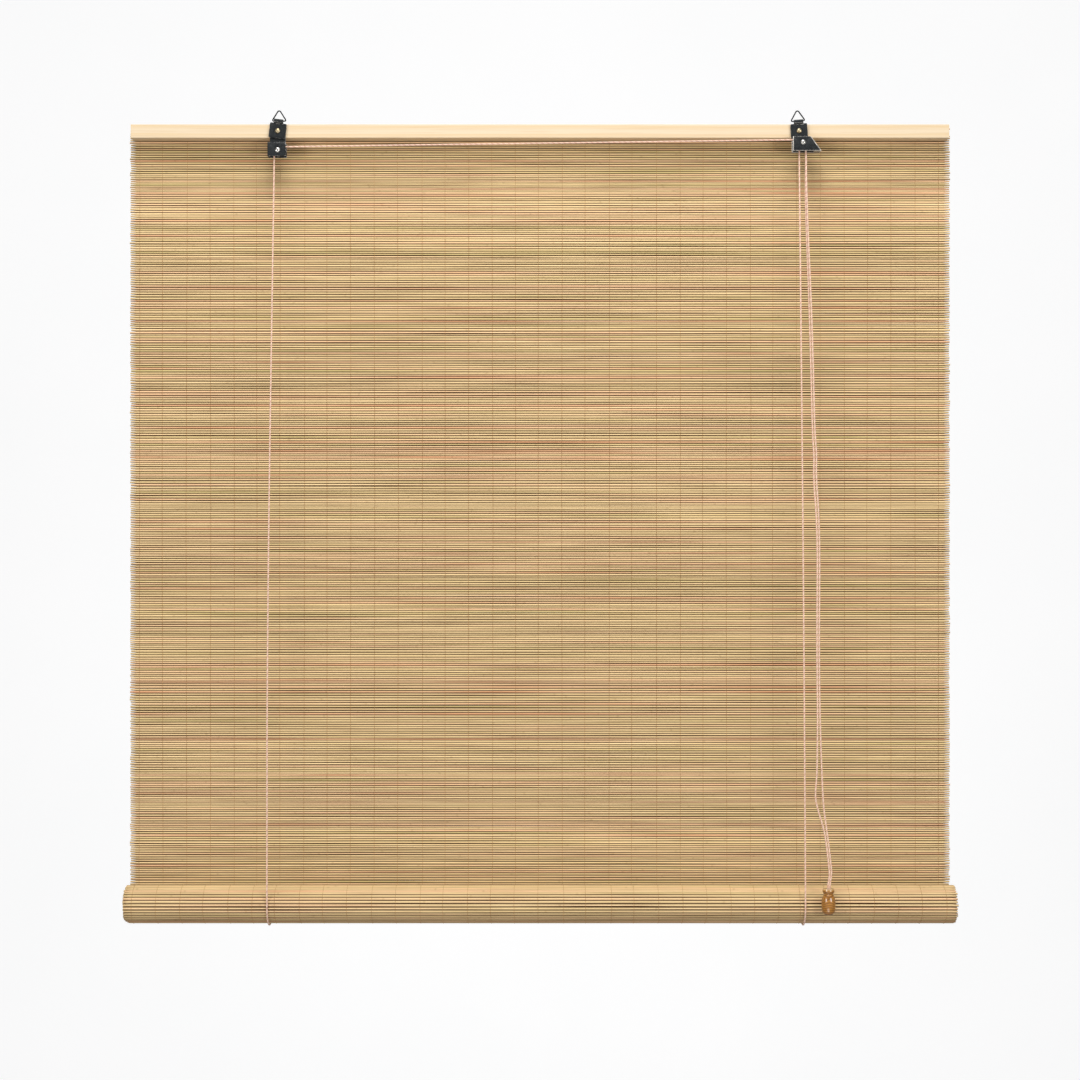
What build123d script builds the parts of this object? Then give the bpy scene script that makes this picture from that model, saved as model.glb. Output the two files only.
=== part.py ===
"""Bamboo roll-up blind, shown pulled down part way, as an assembly of separate pieces.

Millimetres. +X runs along the headrail to the right as seen from the room, +Y points at the wall or window
behind the blind, +Z is up. The origin is on the blind's middle line, level with the two hanging rings' hook
seats and in the rings' plane.
"""

from build123d import *
from math import atan2, cos, degrees, hypot, pi, radians, sin, tan
import os

os.makedirs("parts", exist_ok=True)

# ---------------------------------------------------------------- driving dimensions
# the mat
MAT_WIDTH = 900.0
MAT_DROP = 847.7  # hanging height, from the mat's top edge to the roll's centre line
MAT_THICKNESS = 2.0
MAT_TOP_BELOW_RAIL_TOP = 0.5

# the roll at the bottom
ROD_RADIUS = 8.0
ROD_CLEARANCE = 0.05
ROD_END_CHAMFER = 0.8
TURN_GAP = 0.3  # air between one turn and the next
HALF_TURNS = 11  # semicircles of mat on the rod
BODY_GAP = 0.3  # clearance between pieces that move past each other

# the headrail
RAIL_INSET = 4.0  # how far the rail stops short of each side of the mat
RAIL_DEPTH = 15.0
RAIL_HEIGHT = 15.0
RAIL_TOP_Z = -13.0
RAIL_EDGE_RADIUS = 0.8

# hanging rings
RING_WIRE_RADIUS = 0.7
RING_WIDTH = 15.6
RING_BASE_Z = -10.3
RING_CORNER_RADIUS = 1.15
RING_APEX_RADIUS = 1.9
RING_CORNER_OVERSHOOT = 0.732  # of the corner radius, from the bend's outside to the sharp corner
LEFT_RING_X = -283.8
RIGHT_RING_X = 280.7
LEFT_RING_TILT = 0.0  # degrees, positive with the top leaning left
RIGHT_RING_TILT = 4.0

# hanger straps, folded round the rings
STRAP_THICKNESS = 0.9
STRAP_WIDTH = 18.3
STRAP_NECK_WIDTH = 10.2
STRAP_TOP_TO_SHOULDER = 4.6
STRAP_BELOW_SCREW = 7.9
STRAP_CORNER_RADIUS = 1.2
EYE_CLEARANCE = 0.08
EYE_PLAY = 1.3  # extra height inside the fold, in which a tilted strap still clears the wire
LEFT_STRAP_TILT = -6.5
RIGHT_STRAP_TILT = 4.0

# rail screws
LEFT_SCREW_X = -285.6
RIGHT_SCREW_X = 282.0
SCREW_Z = -20.8
SCREW_HEAD_RADIUS = 2.9
SCREW_HEAD_HEIGHT = 1.5
SCREW_SHANK_RADIUS = 1.5
SCREW_LENGTH = 13.0
SCREW_HOLE_CLEARANCE = 0.2
RECESS_WIDTH = 0.8
RECESS_LENGTH = 3.2
RECESS_DEPTH = 0.8
RECESS_TURN = 30.0  # degrees

# pulley and lock housings, folded from plate
PLATE_THICKNESS = 1.0
HOUSING_DEPTH = 11.0
FOLD_RADIUS = 1.0
LEFT_TONGUE_WIDTH = 17.2
LOCK_TONGUE_WIDTH = 14.0
TONGUE_ABOVE_SCREW = 5.6

# left pulley and its housing
LEFT_PULLEY_X = -284.6
LEFT_PULLEY_Z = -43.2
LEFT_CORD_TURN = 4.2  # radius of the cord's centre line round the left pulley
LEFT_PULLEY_RADIUS = 5.4
LEFT_PULLEY_WIDTH = 6.0
LEFT_HOUSING_LEFT = -295.6
LEFT_HOUSING_RIGHT = -275.8
LEFT_HOUSING_TOP = -34.9
LEFT_HOUSING_BOTTOM = -49.8

# lock pulley, roller and housing
LOCK_PULLEY_X = 285.4
LOCK_PULLEY_Z = -34.8
LOCK_CORD_TURN = 3.55
LOCK_PULLEY_WIDTH = 7.0
LOCK_FLANGE = 0.9
GROOVE_SLANT = 0.1  # how far a groove's side leans, over the groove's half width
LOCK_HOUSING_LEFT = 274.3
LOCK_HOUSING_TOP_RIGHT = 294.2
LOCK_HOUSING_BOTTOM_RIGHT = 305.2
LOCK_HOUSING_TOP = -28.5
LOCK_HOUSING_BOTTOM = -44.0
ROLLER_RADIUS = 2.9
ROLLER_FLUTES = 16
FLUTE_RADIUS = 0.28
LIP_LENGTH = 6.0

# rivets
RIVET_HEAD_RADIUS = 2.9
RIVET_HEAD_HEIGHT = 1.3
RIVET_SHAFT_RADIUS = 1.25
RIVET_FIT = 0.05
RIVET_TAIL_RADIUS = 2.2
RIVET_TAIL_HEIGHT = 0.6

# cords
CORD_DIAMETER = 1.8
CORD_SPACING = 2.2  # between two cords that lie side by side
CORD_JOINT_GAP = 0.05  # between two tubes that stand for one cord
CORD_EXIT_DROP = 1.2  # from a housing's foot down to the first of those joints
CORD_ANCHOR_Z = -21.0
KNOT_RADIUS = 2.0

# staples
STAPLE_WIDTH = 10.0
STAPLE_WIRE = 1.2
STAPLE_THICKNESS = 0.6
STAPLE_BITE = 6.0
STAPLE_COUNT = 17
STAPLE_END_MARGIN = 14.0  # from a rail end to the middle of the nearest staple
STAPLE_Z = -20.0
CORD_STAPLE_WIDTH = 5.0
ROD_STAPLE_COUNT = 9
ROD_STAPLE_END_MARGIN = 30.0

# pull knob
KNOB_X = 309.1
KNOB_TOP_Z = -839.9
KNOB_HEIGHT = 27.4
KNOB_RADIUS = 7.5
KNOB_COLLAR_RADIUS = 6.5
KNOB_NECK_RADIUS = 5.2
KNOB_FOOT_RADIUS = 3.6
KNOB_EDGE = 0.5
KNOB_BELLY_LEVEL = 0.42  # of the knob's height
KNOB_NECK_LEVEL = 0.77
KNOB_COLLAR_LEVEL = 0.9
KNOB_BORE_RADIUS = 2.15
KNOB_POCKET_RADIUS = 2.9
KNOB_POCKET_DEPTH = 11.0
PULL_KNOT_RADIUS = 2.6
PULL_KNOT_HEIGHT = 5.0
PULL_KNOT_ROUNDING = 1.56
STRAND_OFFSET = 1.0  # each strand's distance from the knob's axis inside the bore

# ---------------------------------------------------------------- worked-out places
cord_radius = CORD_DIAMETER / 2
rail_length = MAT_WIDTH - 2 * RAIL_INSET
staple_spacing = (rail_length - 2 * STAPLE_END_MARGIN) / (STAPLE_COUNT - 1)
rod_staple_spacing = (MAT_WIDTH - 2 * ROD_STAPLE_END_MARGIN) / (ROD_STAPLE_COUNT - 1)
turn_pitch = MAT_THICKNESS + TURN_GAP
roll_radius = ROD_RADIUS + MAT_THICKNESS + (HALF_TURNS - 1) * turn_pitch / 2
eye_radius = RING_WIRE_RADIUS + EYE_CLEARANCE
strap_back_y = eye_radius + STRAP_THICKNESS
rail_front_y = strap_back_y + PLATE_THICKNESS
rail_back_y = rail_front_y + RAIL_DEPTH
rail_bottom_z = RAIL_TOP_Z - RAIL_HEIGHT
mat_back_y = rail_back_y + MAT_THICKNESS
mat_top_z = RAIL_TOP_Z - MAT_TOP_BELOW_RAIL_TOP
roll_y = mat_back_y - roll_radius
roll_z = mat_top_z - MAT_DROP
housing_front_y = rail_front_y - HOUSING_DEPTH
pulley_y = (housing_front_y + rail_front_y) / 2
pulley_room = HOUSING_DEPTH - 2 * PLATE_THICKNESS
sling_radius = roll_radius + BODY_GAP + cord_radius
front_cord_y = roll_y - sling_radius
back_cord_y = roll_y + sling_radius
knob_y = roll_y - roll_radius - KNOB_RADIUS - BODY_GAP


def front_plane(x, z, tilt=0.0):
    """A plane parallel to the rail's front, its normal towards the room, turned by tilt about that normal."""
    t = radians(tilt)
    return Plane(origin=(x, 0, z), x_dir=(cos(t), 0, sin(t)), z_dir=(0, -1, 0))


def side_plane(x, z, tilt=0.0):
    """The plane across the rail at x, with Y and Z as its own axes, turned by tilt about Y."""
    t = radians(tilt)
    return Plane(origin=(x, 0, z), x_dir=(0, 1, 0), z_dir=(cos(t), 0, sin(t)))


def cord_corner_radii(points):
    """For each inner point of a route, 0.45 of its shorter run over the tangent of half its turn."""
    radii = []
    for before, corner, after in zip(points, points[1:], points[2:]):
        run_in = Vector(*corner) - Vector(*before)
        run_out = Vector(*after) - Vector(*corner)
        turn = radians(run_in.get_angle(run_out))
        radii.append(0.45 * min(run_in.length, run_out.length) / tan(turn / 2))
    return radii


def report_cord(name, length, volume):
    """Print a cord's length and how far its tube's volume is from section times length."""
    section = pi * cord_radius**2
    print(f"{name}: {length:.1f} mm, tube volume / (section x length) = {volume / (section * length):.4f}")


# ---------------------------------------------------------------- headrail
with BuildPart() as headrail:
    with BuildSketch(Plane.YZ):
        with Locations(((rail_front_y + rail_back_y) / 2, (RAIL_TOP_Z + rail_bottom_z) / 2)):
            RectangleRounded(RAIL_DEPTH, RAIL_HEIGHT, RAIL_EDGE_RADIUS)
    extrude(amount=rail_length / 2, both=True)
    for screw_x in (LEFT_SCREW_X, RIGHT_SCREW_X):
        with BuildSketch(front_plane(screw_x, SCREW_Z)):
            Circle(SCREW_SHANK_RADIUS)
        extrude(amount=-(strap_back_y + SCREW_LENGTH), mode=Mode.SUBTRACT)
headrail.part.label = "headrail"
export_step(headrail.part, "parts/headrail.step")


# ---------------------------------------------------------------- woven mat, hanging and rolled
with BuildPart() as hanging_mat:
    with BuildSketch(Plane.YZ):
        with Locations((rail_back_y, roll_z + BODY_GAP)):
            Rectangle(MAT_THICKNESS, MAT_DROP - BODY_GAP, align=Align.MIN)
    extrude(amount=MAT_WIDTH / 2, both=True)
hanging_mat.part.label = "hanging_mat"
export_step(hanging_mat.part, "parts/hanging_mat.step")

with BuildPart() as rolled_mat:
    # semicircles by turns below and above, centred half a pitch apart, wind the mat in towards the rod
    with BuildSketch(Plane.YZ):
        with BuildLine():
            for side in (1, -1):
                for k in range(HALF_TURNS):
                    lower = k % 2 == 0
                    centre = (roll_y if lower else roll_y - turn_pitch / 2, roll_z)
                    radius = roll_radius - (1 - side) / 2 * MAT_THICKNESS - k * turn_pitch / 2
                    CenterArc(centre, radius, 180 if lower else 0, 180)
            Line(
                (roll_y + roll_radius, roll_z),
                (roll_y + roll_radius - MAT_THICKNESS, roll_z),
            )
            inner_side = -1 if HALF_TURNS % 2 else 1
            Line(
                (roll_y + inner_side * (ROD_RADIUS + MAT_THICKNESS), roll_z),
                (roll_y + inner_side * ROD_RADIUS, roll_z),
            )
        make_face()
    extrude(amount=MAT_WIDTH / 2, both=True)
rolled_mat.part.label = "rolled_mat"
export_step(rolled_mat.part, "parts/rolled_mat.step")
rolled_length = sum(pi * (roll_radius - MAT_THICKNESS / 2 - k * turn_pitch / 2) for k in range(HALF_TURNS))
print(f"roll radius {roll_radius:.2f}; mat {MAT_DROP:.0f} hanging + {rolled_length:.0f} rolled")

with BuildPart() as bottom_rod:
    with BuildSketch(Plane.YZ):
        with Locations((roll_y, roll_z)):
            Circle(ROD_RADIUS - ROD_CLEARANCE)
    extrude(amount=MAT_WIDTH / 2, both=True)
    chamfer(bottom_rod.faces().filter_by(Axis.X).edges(), ROD_END_CHAMFER)
bottom_rod.part.label = "bottom_rod"
export_step(bottom_rod.part, "parts/bottom_rod.step")


# ---------------------------------------------------------------- staples
def staple_profile(width, bite):
    """A staple seen along Z in the open sketch, its crown's outer face on the X axis, legs towards -Y."""
    with Locations((0, -STAPLE_THICKNESS / 2)):
        Rectangle(width, STAPLE_THICKNESS)
    for side in (-1, 1):
        with Locations((side * (width - STAPLE_THICKNESS) / 2, -bite / 2)):
            Rectangle(STAPLE_THICKNESS, bite)


with BuildPart() as header_staples:
    with BuildSketch(Plane((0, mat_back_y + STAPLE_THICKNESS, STAPLE_Z))):
        with GridLocations(staple_spacing, 1, STAPLE_COUNT, 1):
            staple_profile(STAPLE_WIDTH, STAPLE_THICKNESS + MAT_THICKNESS + STAPLE_BITE)
    extrude(amount=STAPLE_WIRE / 2, both=True)
header_staples.part.label = "header_staples"
export_step(header_staples.part, "parts/header_staples.step")

with BuildPart() as rod_staples:
    # driven flush with the outside of the mat's innermost turn, under the rod
    with BuildSketch(Plane.XZ.offset(-roll_y)):
        with GridLocations(rod_staple_spacing, 1, ROD_STAPLE_COUNT, 1):
            with Locations((0, roll_z - ROD_RADIUS - MAT_THICKNESS + STAPLE_THICKNESS / 2)):
                Rectangle(STAPLE_WIDTH, STAPLE_THICKNESS)
            for side in (-1, 1):
                leg = MAT_THICKNESS + STAPLE_BITE
                x = side * (STAPLE_WIDTH - STAPLE_THICKNESS) / 2
                with Locations((x, roll_z - ROD_RADIUS - MAT_THICKNESS + leg / 2)):
                    Rectangle(STAPLE_THICKNESS, leg)
    extrude(amount=STAPLE_WIRE / 2, both=True)
rod_staples.part.label = "rod_staples"
export_step(rod_staples.part, "parts/rod_staples.step")


# ---------------------------------------------------------------- hanging rings
def ring_path(x, tilt):
    """The bent wire's centre line: a triangle with rounded corners, its base through the strap's fold."""
    half_base = RING_WIDTH / 2 - RING_WIRE_RADIUS + RING_CORNER_OVERSHOOT * RING_CORNER_RADIUS
    apex_seat = RING_WIRE_RADIUS - RING_BASE_Z  # height of the wire's centre line at the hook seat
    half_angle = atan2(half_base, apex_seat + RING_APEX_RADIUS)
    for _ in range(20):
        sharp = apex_seat + RING_APEX_RADIUS * (1 / sin(half_angle) - 1)
        half_angle = atan2(half_base, sharp)
    with BuildLine(front_plane(x, RING_BASE_Z, tilt)) as path:
        FilletPolyline(
            (half_base, 0),
            (0, sharp),
            (-half_base, 0),
            close=True,
            radius=[RING_CORNER_RADIUS, RING_APEX_RADIUS, RING_CORNER_RADIUS],
        )
    return path


rings = (
    ("left_hanging_ring", LEFT_RING_X, LEFT_RING_TILT),
    ("right_hanging_ring", RIGHT_RING_X, RIGHT_RING_TILT),
)
for ring_name, ring_x, ring_tilt in rings:
    wire_path = ring_path(ring_x, ring_tilt)
    with BuildPart() as hanging_ring:
        with BuildSketch(Plane(wire_path.line @ 0, z_dir=wire_path.line % 0)):
            Circle(RING_WIRE_RADIUS)
        sweep(path=wire_path.line)
    hanging_ring.part.label = ring_name
    export_step(hanging_ring.part, f"parts/{ring_name}.step")


# ---------------------------------------------------------------- hanger straps
def wire_height(ring_x, ring_tilt, screw_x, tilt):
    """How far above its screw a strap leaning by tilt meets the ring's base wire, at its higher neck edge."""
    lean = radians(ring_tilt - tilt)
    t = radians(tilt)
    across = (ring_x - screw_x) * cos(t) + (RING_BASE_Z - SCREW_Z) * sin(t)
    above = (RING_BASE_Z - SCREW_Z) * cos(t) - (ring_x - screw_x) * sin(t)
    edge = STRAP_NECK_WIDTH / 2 if lean > 0 else -STRAP_NECK_WIDTH / 2
    return above + (edge - across) * tan(lean)


straps = (
    ("left_hanger_strap", LEFT_RING_X, LEFT_RING_TILT, LEFT_SCREW_X, LEFT_STRAP_TILT),
    ("right_hanger_strap", RIGHT_RING_X, RIGHT_RING_TILT, RIGHT_SCREW_X, RIGHT_STRAP_TILT),
)
play = EYE_PLAY + 2 * eye_radius
for strap_name, ring_x, ring_tilt, screw_x, tilt in straps:
    eye_top = wire_height(ring_x, ring_tilt, screw_x, tilt) + eye_radius  # inside of the fold
    strap_top = eye_top + STRAP_THICKNESS
    shoulder = strap_top - STRAP_TOP_TO_SHOULDER
    with BuildPart() as hanger_strap:
        # the strip's section: back leg, fold over the wire, and front leg set back flat onto the back leg
        with BuildSketch(side_plane(screw_x, SCREW_Z, tilt)):
            bottom = -STRAP_BELOW_SCREW
            bend_z = eye_top - eye_radius
            joggle_top = eye_top - play
            joggle_bottom = joggle_top - 2 * eye_radius
            leg_front = eye_radius - STRAP_THICKNESS
            with BuildLine():
                Polyline(
                    (-strap_back_y, bend_z),
                    (-strap_back_y, joggle_top),
                    (leg_front, joggle_bottom),
                    (leg_front, bottom),
                    (strap_back_y, bottom),
                    (strap_back_y, bend_z),
                )
                ThreePointArc((strap_back_y, bend_z), (0, bend_z + strap_back_y), (-strap_back_y, bend_z))
            make_face()
            with BuildLine():
                Polyline(
                    (-eye_radius, bend_z),
                    (-eye_radius, joggle_top),
                    (eye_radius, joggle_bottom),
                    (eye_radius, bend_z),
                )
                ThreePointArc((eye_radius, bend_z), (0, eye_top), (-eye_radius, bend_z))
            make_face(mode=Mode.SUBTRACT)
        extrude(amount=STRAP_WIDTH / 2, both=True)
        # the blank's outline: a plate with rounded corners, and the narrower neck that folds over the wire
        with BuildSketch(front_plane(screw_x, SCREW_Z, tilt)):
            with Locations((0, (shoulder - STRAP_BELOW_SCREW) / 2)):
                RectangleRounded(STRAP_WIDTH, shoulder + STRAP_BELOW_SCREW, STRAP_CORNER_RADIUS)
            with Locations((0, strap_top / 2)):
                Rectangle(STRAP_NECK_WIDTH, strap_top)
            Circle(SCREW_SHANK_RADIUS + SCREW_HOLE_CLEARANCE, mode=Mode.SUBTRACT)
        extrude(amount=2 * strap_back_y, both=True, mode=Mode.INTERSECT)
    hanger_strap.part.label = strap_name
    export_step(hanger_strap.part, f"parts/{strap_name}.step")


# ---------------------------------------------------------------- rail screws
screw_head_y = eye_radius - STRAP_THICKNESS
for screw_name, screw_x in (("left_rail_screw", LEFT_SCREW_X), ("right_rail_screw", RIGHT_SCREW_X)):
    with BuildPart() as rail_screw:
        with BuildSketch(Plane(origin=(screw_x, screw_head_y, SCREW_Z), x_dir=(1, 0, 0), z_dir=(0, 0, 1))):
            with BuildLine():
                dome = (SCREW_HEAD_RADIUS * 0.75, -SCREW_HEAD_HEIGHT * 0.72)
                tip = SCREW_LENGTH - 2 * SCREW_SHANK_RADIUS
                ThreePointArc((0, -SCREW_HEAD_HEIGHT), dome, (SCREW_HEAD_RADIUS, 0))
                Polyline(
                    (SCREW_HEAD_RADIUS, 0),
                    (SCREW_SHANK_RADIUS, 0),
                    (SCREW_SHANK_RADIUS, tip),
                    (0, SCREW_LENGTH),
                    (0, -SCREW_HEAD_HEIGHT),
                )
            make_face()
        revolve(axis=Axis((screw_x, 0, SCREW_Z), (0, 1, 0)))
        with BuildSketch(front_plane(screw_x, SCREW_Z, RECESS_TURN).offset(SCREW_HEAD_HEIGHT - screw_head_y)):
            Rectangle(RECESS_LENGTH, RECESS_WIDTH)
            Rectangle(RECESS_WIDTH, RECESS_LENGTH)
        extrude(amount=-RECESS_DEPTH, mode=Mode.SUBTRACT)
    rail_screw.part.label = screw_name
    export_step(rail_screw.part, f"parts/{screw_name}.step")


# ---------------------------------------------------------------- left pulley housing
with BuildPart() as left_pulley_housing:
    width = LEFT_HOUSING_RIGHT - LEFT_HOUSING_LEFT
    height = LEFT_HOUSING_TOP - LEFT_HOUSING_BOTTOM
    with BuildSketch(Plane.XY.offset(LEFT_HOUSING_BOTTOM)):
        with Locations((LEFT_HOUSING_LEFT, housing_front_y)):
            Rectangle(width, HOUSING_DEPTH, align=Align.MIN)
        with Locations((LEFT_HOUSING_LEFT + PLATE_THICKNESS, housing_front_y + PLATE_THICKNESS)):
            Rectangle(width, pulley_room, align=Align.MIN, mode=Mode.SUBTRACT)
    extrude(amount=height)
    fillet(left_pulley_housing.edges().filter_by(Axis.Z).group_by(Axis.X)[0], FOLD_RADIUS)
    # the tongue that the rail screw holds, behind the hanger strap
    with BuildSketch(front_plane(LEFT_SCREW_X, SCREW_Z).offset(-strap_back_y)):
        tongue_foot = LEFT_HOUSING_TOP - SCREW_Z - FOLD_RADIUS
        with Locations((0, tongue_foot)):
            Rectangle(LEFT_TONGUE_WIDTH, TONGUE_ABOVE_SCREW - tongue_foot, align=(Align.CENTER, Align.MIN))
    extrude(amount=-PLATE_THICKNESS)
    with BuildSketch(front_plane(LEFT_SCREW_X, SCREW_Z).offset(-strap_back_y)):
        Circle(SCREW_SHANK_RADIUS + SCREW_HOLE_CLEARANCE)
    extrude(amount=-2 * PLATE_THICKNESS, mode=Mode.SUBTRACT)
    with BuildSketch(front_plane(LEFT_PULLEY_X, LEFT_PULLEY_Z).offset(-housing_front_y)):
        Circle(RIVET_SHAFT_RADIUS + RIVET_FIT)
    extrude(amount=-HOUSING_DEPTH, mode=Mode.SUBTRACT)
left_pulley_housing.part.label = "left_pulley_housing"
export_step(left_pulley_housing.part, "parts/left_pulley_housing.step")


# ---------------------------------------------------------------- cord lock housing
slope_run = LOCK_HOUSING_BOTTOM_RIGHT - LOCK_HOUSING_TOP_RIGHT
slope_drop = LOCK_HOUSING_TOP - LOCK_HOUSING_BOTTOM
slope_length = hypot(slope_run, slope_drop)
slope_angle = degrees(atan2(slope_run, slope_drop))  # from the vertical
wall_shift = PLATE_THICKNESS * slope_length / slope_drop  # the slanted wall, measured level

with BuildPart() as lock_housing:
    with BuildSketch(Plane.XZ.offset(-rail_front_y)):
        with BuildLine():
            Polyline(
                (LOCK_HOUSING_LEFT, LOCK_HOUSING_TOP),
                (LOCK_HOUSING_TOP_RIGHT, LOCK_HOUSING_TOP),
                (LOCK_HOUSING_BOTTOM_RIGHT, LOCK_HOUSING_BOTTOM),
                (LOCK_HOUSING_LEFT, LOCK_HOUSING_BOTTOM),
                close=True,
            )
        make_face()
    extrude(amount=HOUSING_DEPTH)
    folds = [
        e
        for e in lock_housing.edges().filter_by(GeomType.LINE)
        if abs(e.length - slope_length) < 0.01
    ]
    fillet(folds, FOLD_RADIUS)
    # the room inside, open at the left, the top and the bottom
    with BuildSketch(Plane.XZ.offset(-(rail_front_y - PLATE_THICKNESS))):
        with BuildLine():
            Polyline(
                (LOCK_HOUSING_LEFT, LOCK_HOUSING_TOP),
                (LOCK_HOUSING_TOP_RIGHT - wall_shift, LOCK_HOUSING_TOP),
                (LOCK_HOUSING_BOTTOM_RIGHT - wall_shift, LOCK_HOUSING_BOTTOM),
                (LOCK_HOUSING_LEFT, LOCK_HOUSING_BOTTOM),
                close=True,
            )
        make_face()
    extrude(amount=pulley_room, mode=Mode.SUBTRACT)
    # the lip that stops the roller at the foot of the slanted wall
    with BuildSketch(Plane.XZ.offset(-(rail_front_y - PLATE_THICKNESS))):
        with Locations((LOCK_HOUSING_BOTTOM_RIGHT - wall_shift - LIP_LENGTH, LOCK_HOUSING_BOTTOM)):
            Rectangle(LIP_LENGTH, PLATE_THICKNESS, align=Align.MIN)
    extrude(amount=pulley_room)
    with BuildSketch(front_plane(RIGHT_SCREW_X, SCREW_Z).offset(-strap_back_y)):
        tongue_foot = LOCK_HOUSING_TOP - SCREW_Z - FOLD_RADIUS
        with Locations((0, tongue_foot)):
            Rectangle(LOCK_TONGUE_WIDTH, TONGUE_ABOVE_SCREW - tongue_foot, align=(Align.CENTER, Align.MIN))
    extrude(amount=-PLATE_THICKNESS)
    with BuildSketch(front_plane(RIGHT_SCREW_X, SCREW_Z).offset(-strap_back_y)):
        Circle(SCREW_SHANK_RADIUS + SCREW_HOLE_CLEARANCE)
    extrude(amount=-2 * PLATE_THICKNESS, mode=Mode.SUBTRACT)
    with BuildSketch(front_plane(LOCK_PULLEY_X, LOCK_PULLEY_Z).offset(-housing_front_y)):
        Circle(RIVET_SHAFT_RADIUS + RIVET_FIT)
    extrude(amount=-HOUSING_DEPTH, mode=Mode.SUBTRACT)
lock_housing.part.label = "lock_housing"
export_step(lock_housing.part, "parts/lock_housing.step")


# ---------------------------------------------------------------- pulleys, turned about Y
def pulley_outline(groove_radius, rim_radius, width, flange):
    """The corners of half a pulley's section: radius first, then place along its axis, centred on 0."""
    bore = RIVET_SHAFT_RADIUS + RIVET_FIT
    slant = (width / 2 - flange) * GROOVE_SLANT
    return [
        (bore, -width / 2),
        (rim_radius, -width / 2),
        (rim_radius, -width / 2 + flange),
        (groove_radius, -width / 2 + flange + slant),
        (groove_radius, width / 2 - flange - slant),
        (rim_radius, width / 2 - flange),
        (rim_radius, width / 2),
        (bore, width / 2),
    ]


left_groove = LEFT_CORD_TURN - cord_radius - BODY_GAP
left_flange = (LEFT_PULLEY_WIDTH - CORD_DIAMETER) / 2 - 3 * BODY_GAP
lock_groove = LOCK_CORD_TURN - cord_radius - BODY_GAP
lock_rim = LOCK_CORD_TURN + cord_radius
left_section = pulley_outline(left_groove, LEFT_PULLEY_RADIUS, LEFT_PULLEY_WIDTH, left_flange)
lock_section = pulley_outline(lock_groove, lock_rim, LOCK_PULLEY_WIDTH, LOCK_FLANGE)
pulleys = (
    ("left_pulley", LEFT_PULLEY_X, LEFT_PULLEY_Z, left_section),
    ("lock_pulley", LOCK_PULLEY_X, LOCK_PULLEY_Z, lock_section),
)
for pulley_name, pulley_x, pulley_z, section in pulleys:
    with BuildPart() as pulley:
        with BuildSketch(Plane((pulley_x, pulley_y, pulley_z))):
            with BuildLine():
                Polyline(*section, close=True)
            make_face()
        revolve(axis=Axis((pulley_x, pulley_y, pulley_z), (0, 1, 0)))
    pulley.part.label = pulley_name
    export_step(pulley.part, f"parts/{pulley_name}.step")


# ---------------------------------------------------------------- rivets
rivets = (
    ("left_pulley_rivet", LEFT_PULLEY_X, LEFT_PULLEY_Z),
    ("lock_rivet", LOCK_PULLEY_X, LOCK_PULLEY_Z),
)
for rivet_name, rivet_x, rivet_z in rivets:
    with BuildPart() as rivet:
        with BuildSketch(Plane((rivet_x, housing_front_y, rivet_z))):
            with BuildLine():
                dome = (RIVET_HEAD_RADIUS * 0.72, -RIVET_HEAD_HEIGHT * 0.68)
                tail = HOUSING_DEPTH
                ThreePointArc((0, -RIVET_HEAD_HEIGHT), dome, (RIVET_HEAD_RADIUS, 0))
                Polyline(
                    (RIVET_HEAD_RADIUS, 0),
                    (RIVET_SHAFT_RADIUS, 0),
                    (RIVET_SHAFT_RADIUS, tail),
                    (RIVET_TAIL_RADIUS, tail),
                    (RIVET_TAIL_RADIUS, tail + RIVET_TAIL_HEIGHT),
                    (0, tail + RIVET_TAIL_HEIGHT),
                    (0, -RIVET_HEAD_HEIGHT),
                )
            make_face()
        revolve(axis=Axis((rivet_x, 0, rivet_z), (0, 1, 0)))
    rivet.part.label = rivet_name
    export_step(rivet.part, f"parts/{rivet_name}.step")


# ---------------------------------------------------------------- lock roller
# It pinches both cords against the lock pulley: it lies BODY_GAP from the cords and from the slanted wall.
roller_x = LOCK_PULLEY_X + LOCK_CORD_TURN + cord_radius + BODY_GAP + ROLLER_RADIUS
wall_x_at_roller = roller_x + (ROLLER_RADIUS + BODY_GAP) * slope_length / slope_drop + wall_shift
roller_z = LOCK_HOUSING_TOP - (wall_x_at_roller - LOCK_HOUSING_TOP_RIGHT) * slope_drop / slope_run
roller_stop_z = LOCK_HOUSING_BOTTOM + PLATE_THICKNESS + BODY_GAP + ROLLER_RADIUS
roller_travel = (roller_z - roller_stop_z) * slope_length / slope_drop
print(f"roller at {roller_x:.2f}, {pulley_y:.2f}, {roller_z:.2f}; travel {roller_travel:.2f}")
print(f"down the wall: {sin(radians(slope_angle)):.5f}, 0, {-cos(radians(slope_angle)):.5f}")

with BuildPart() as lock_roller:
    roller_plane = front_plane(roller_x, roller_z).offset(-pulley_y)
    with BuildSketch(roller_plane):
        Circle(ROLLER_RADIUS)
        with PolarLocations(ROLLER_RADIUS + FLUTE_RADIUS / 2, ROLLER_FLUTES):
            Circle(FLUTE_RADIUS, mode=Mode.SUBTRACT)
    extrude(amount=pulley_room / 2 - BODY_GAP, both=True)
lock_roller.part.label = "lock_roller"
export_step(lock_roller.part, "parts/lock_roller.step")


# ---------------------------------------------------------------- held cords
def cord_tube(name, path):
    """Sweep the cord's round section along a finished path and export it under its node's name."""
    route = path.wire()
    with BuildPart() as cord:
        with BuildSketch(Plane(route @ 0, z_dir=route % 0)):
            Circle(cord_radius)
        sweep(path=route)
    report_cord(name, route.length, cord.part.volume)
    cord.part.label = name
    export_step(cord.part, f"parts/{name}.step")


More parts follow.
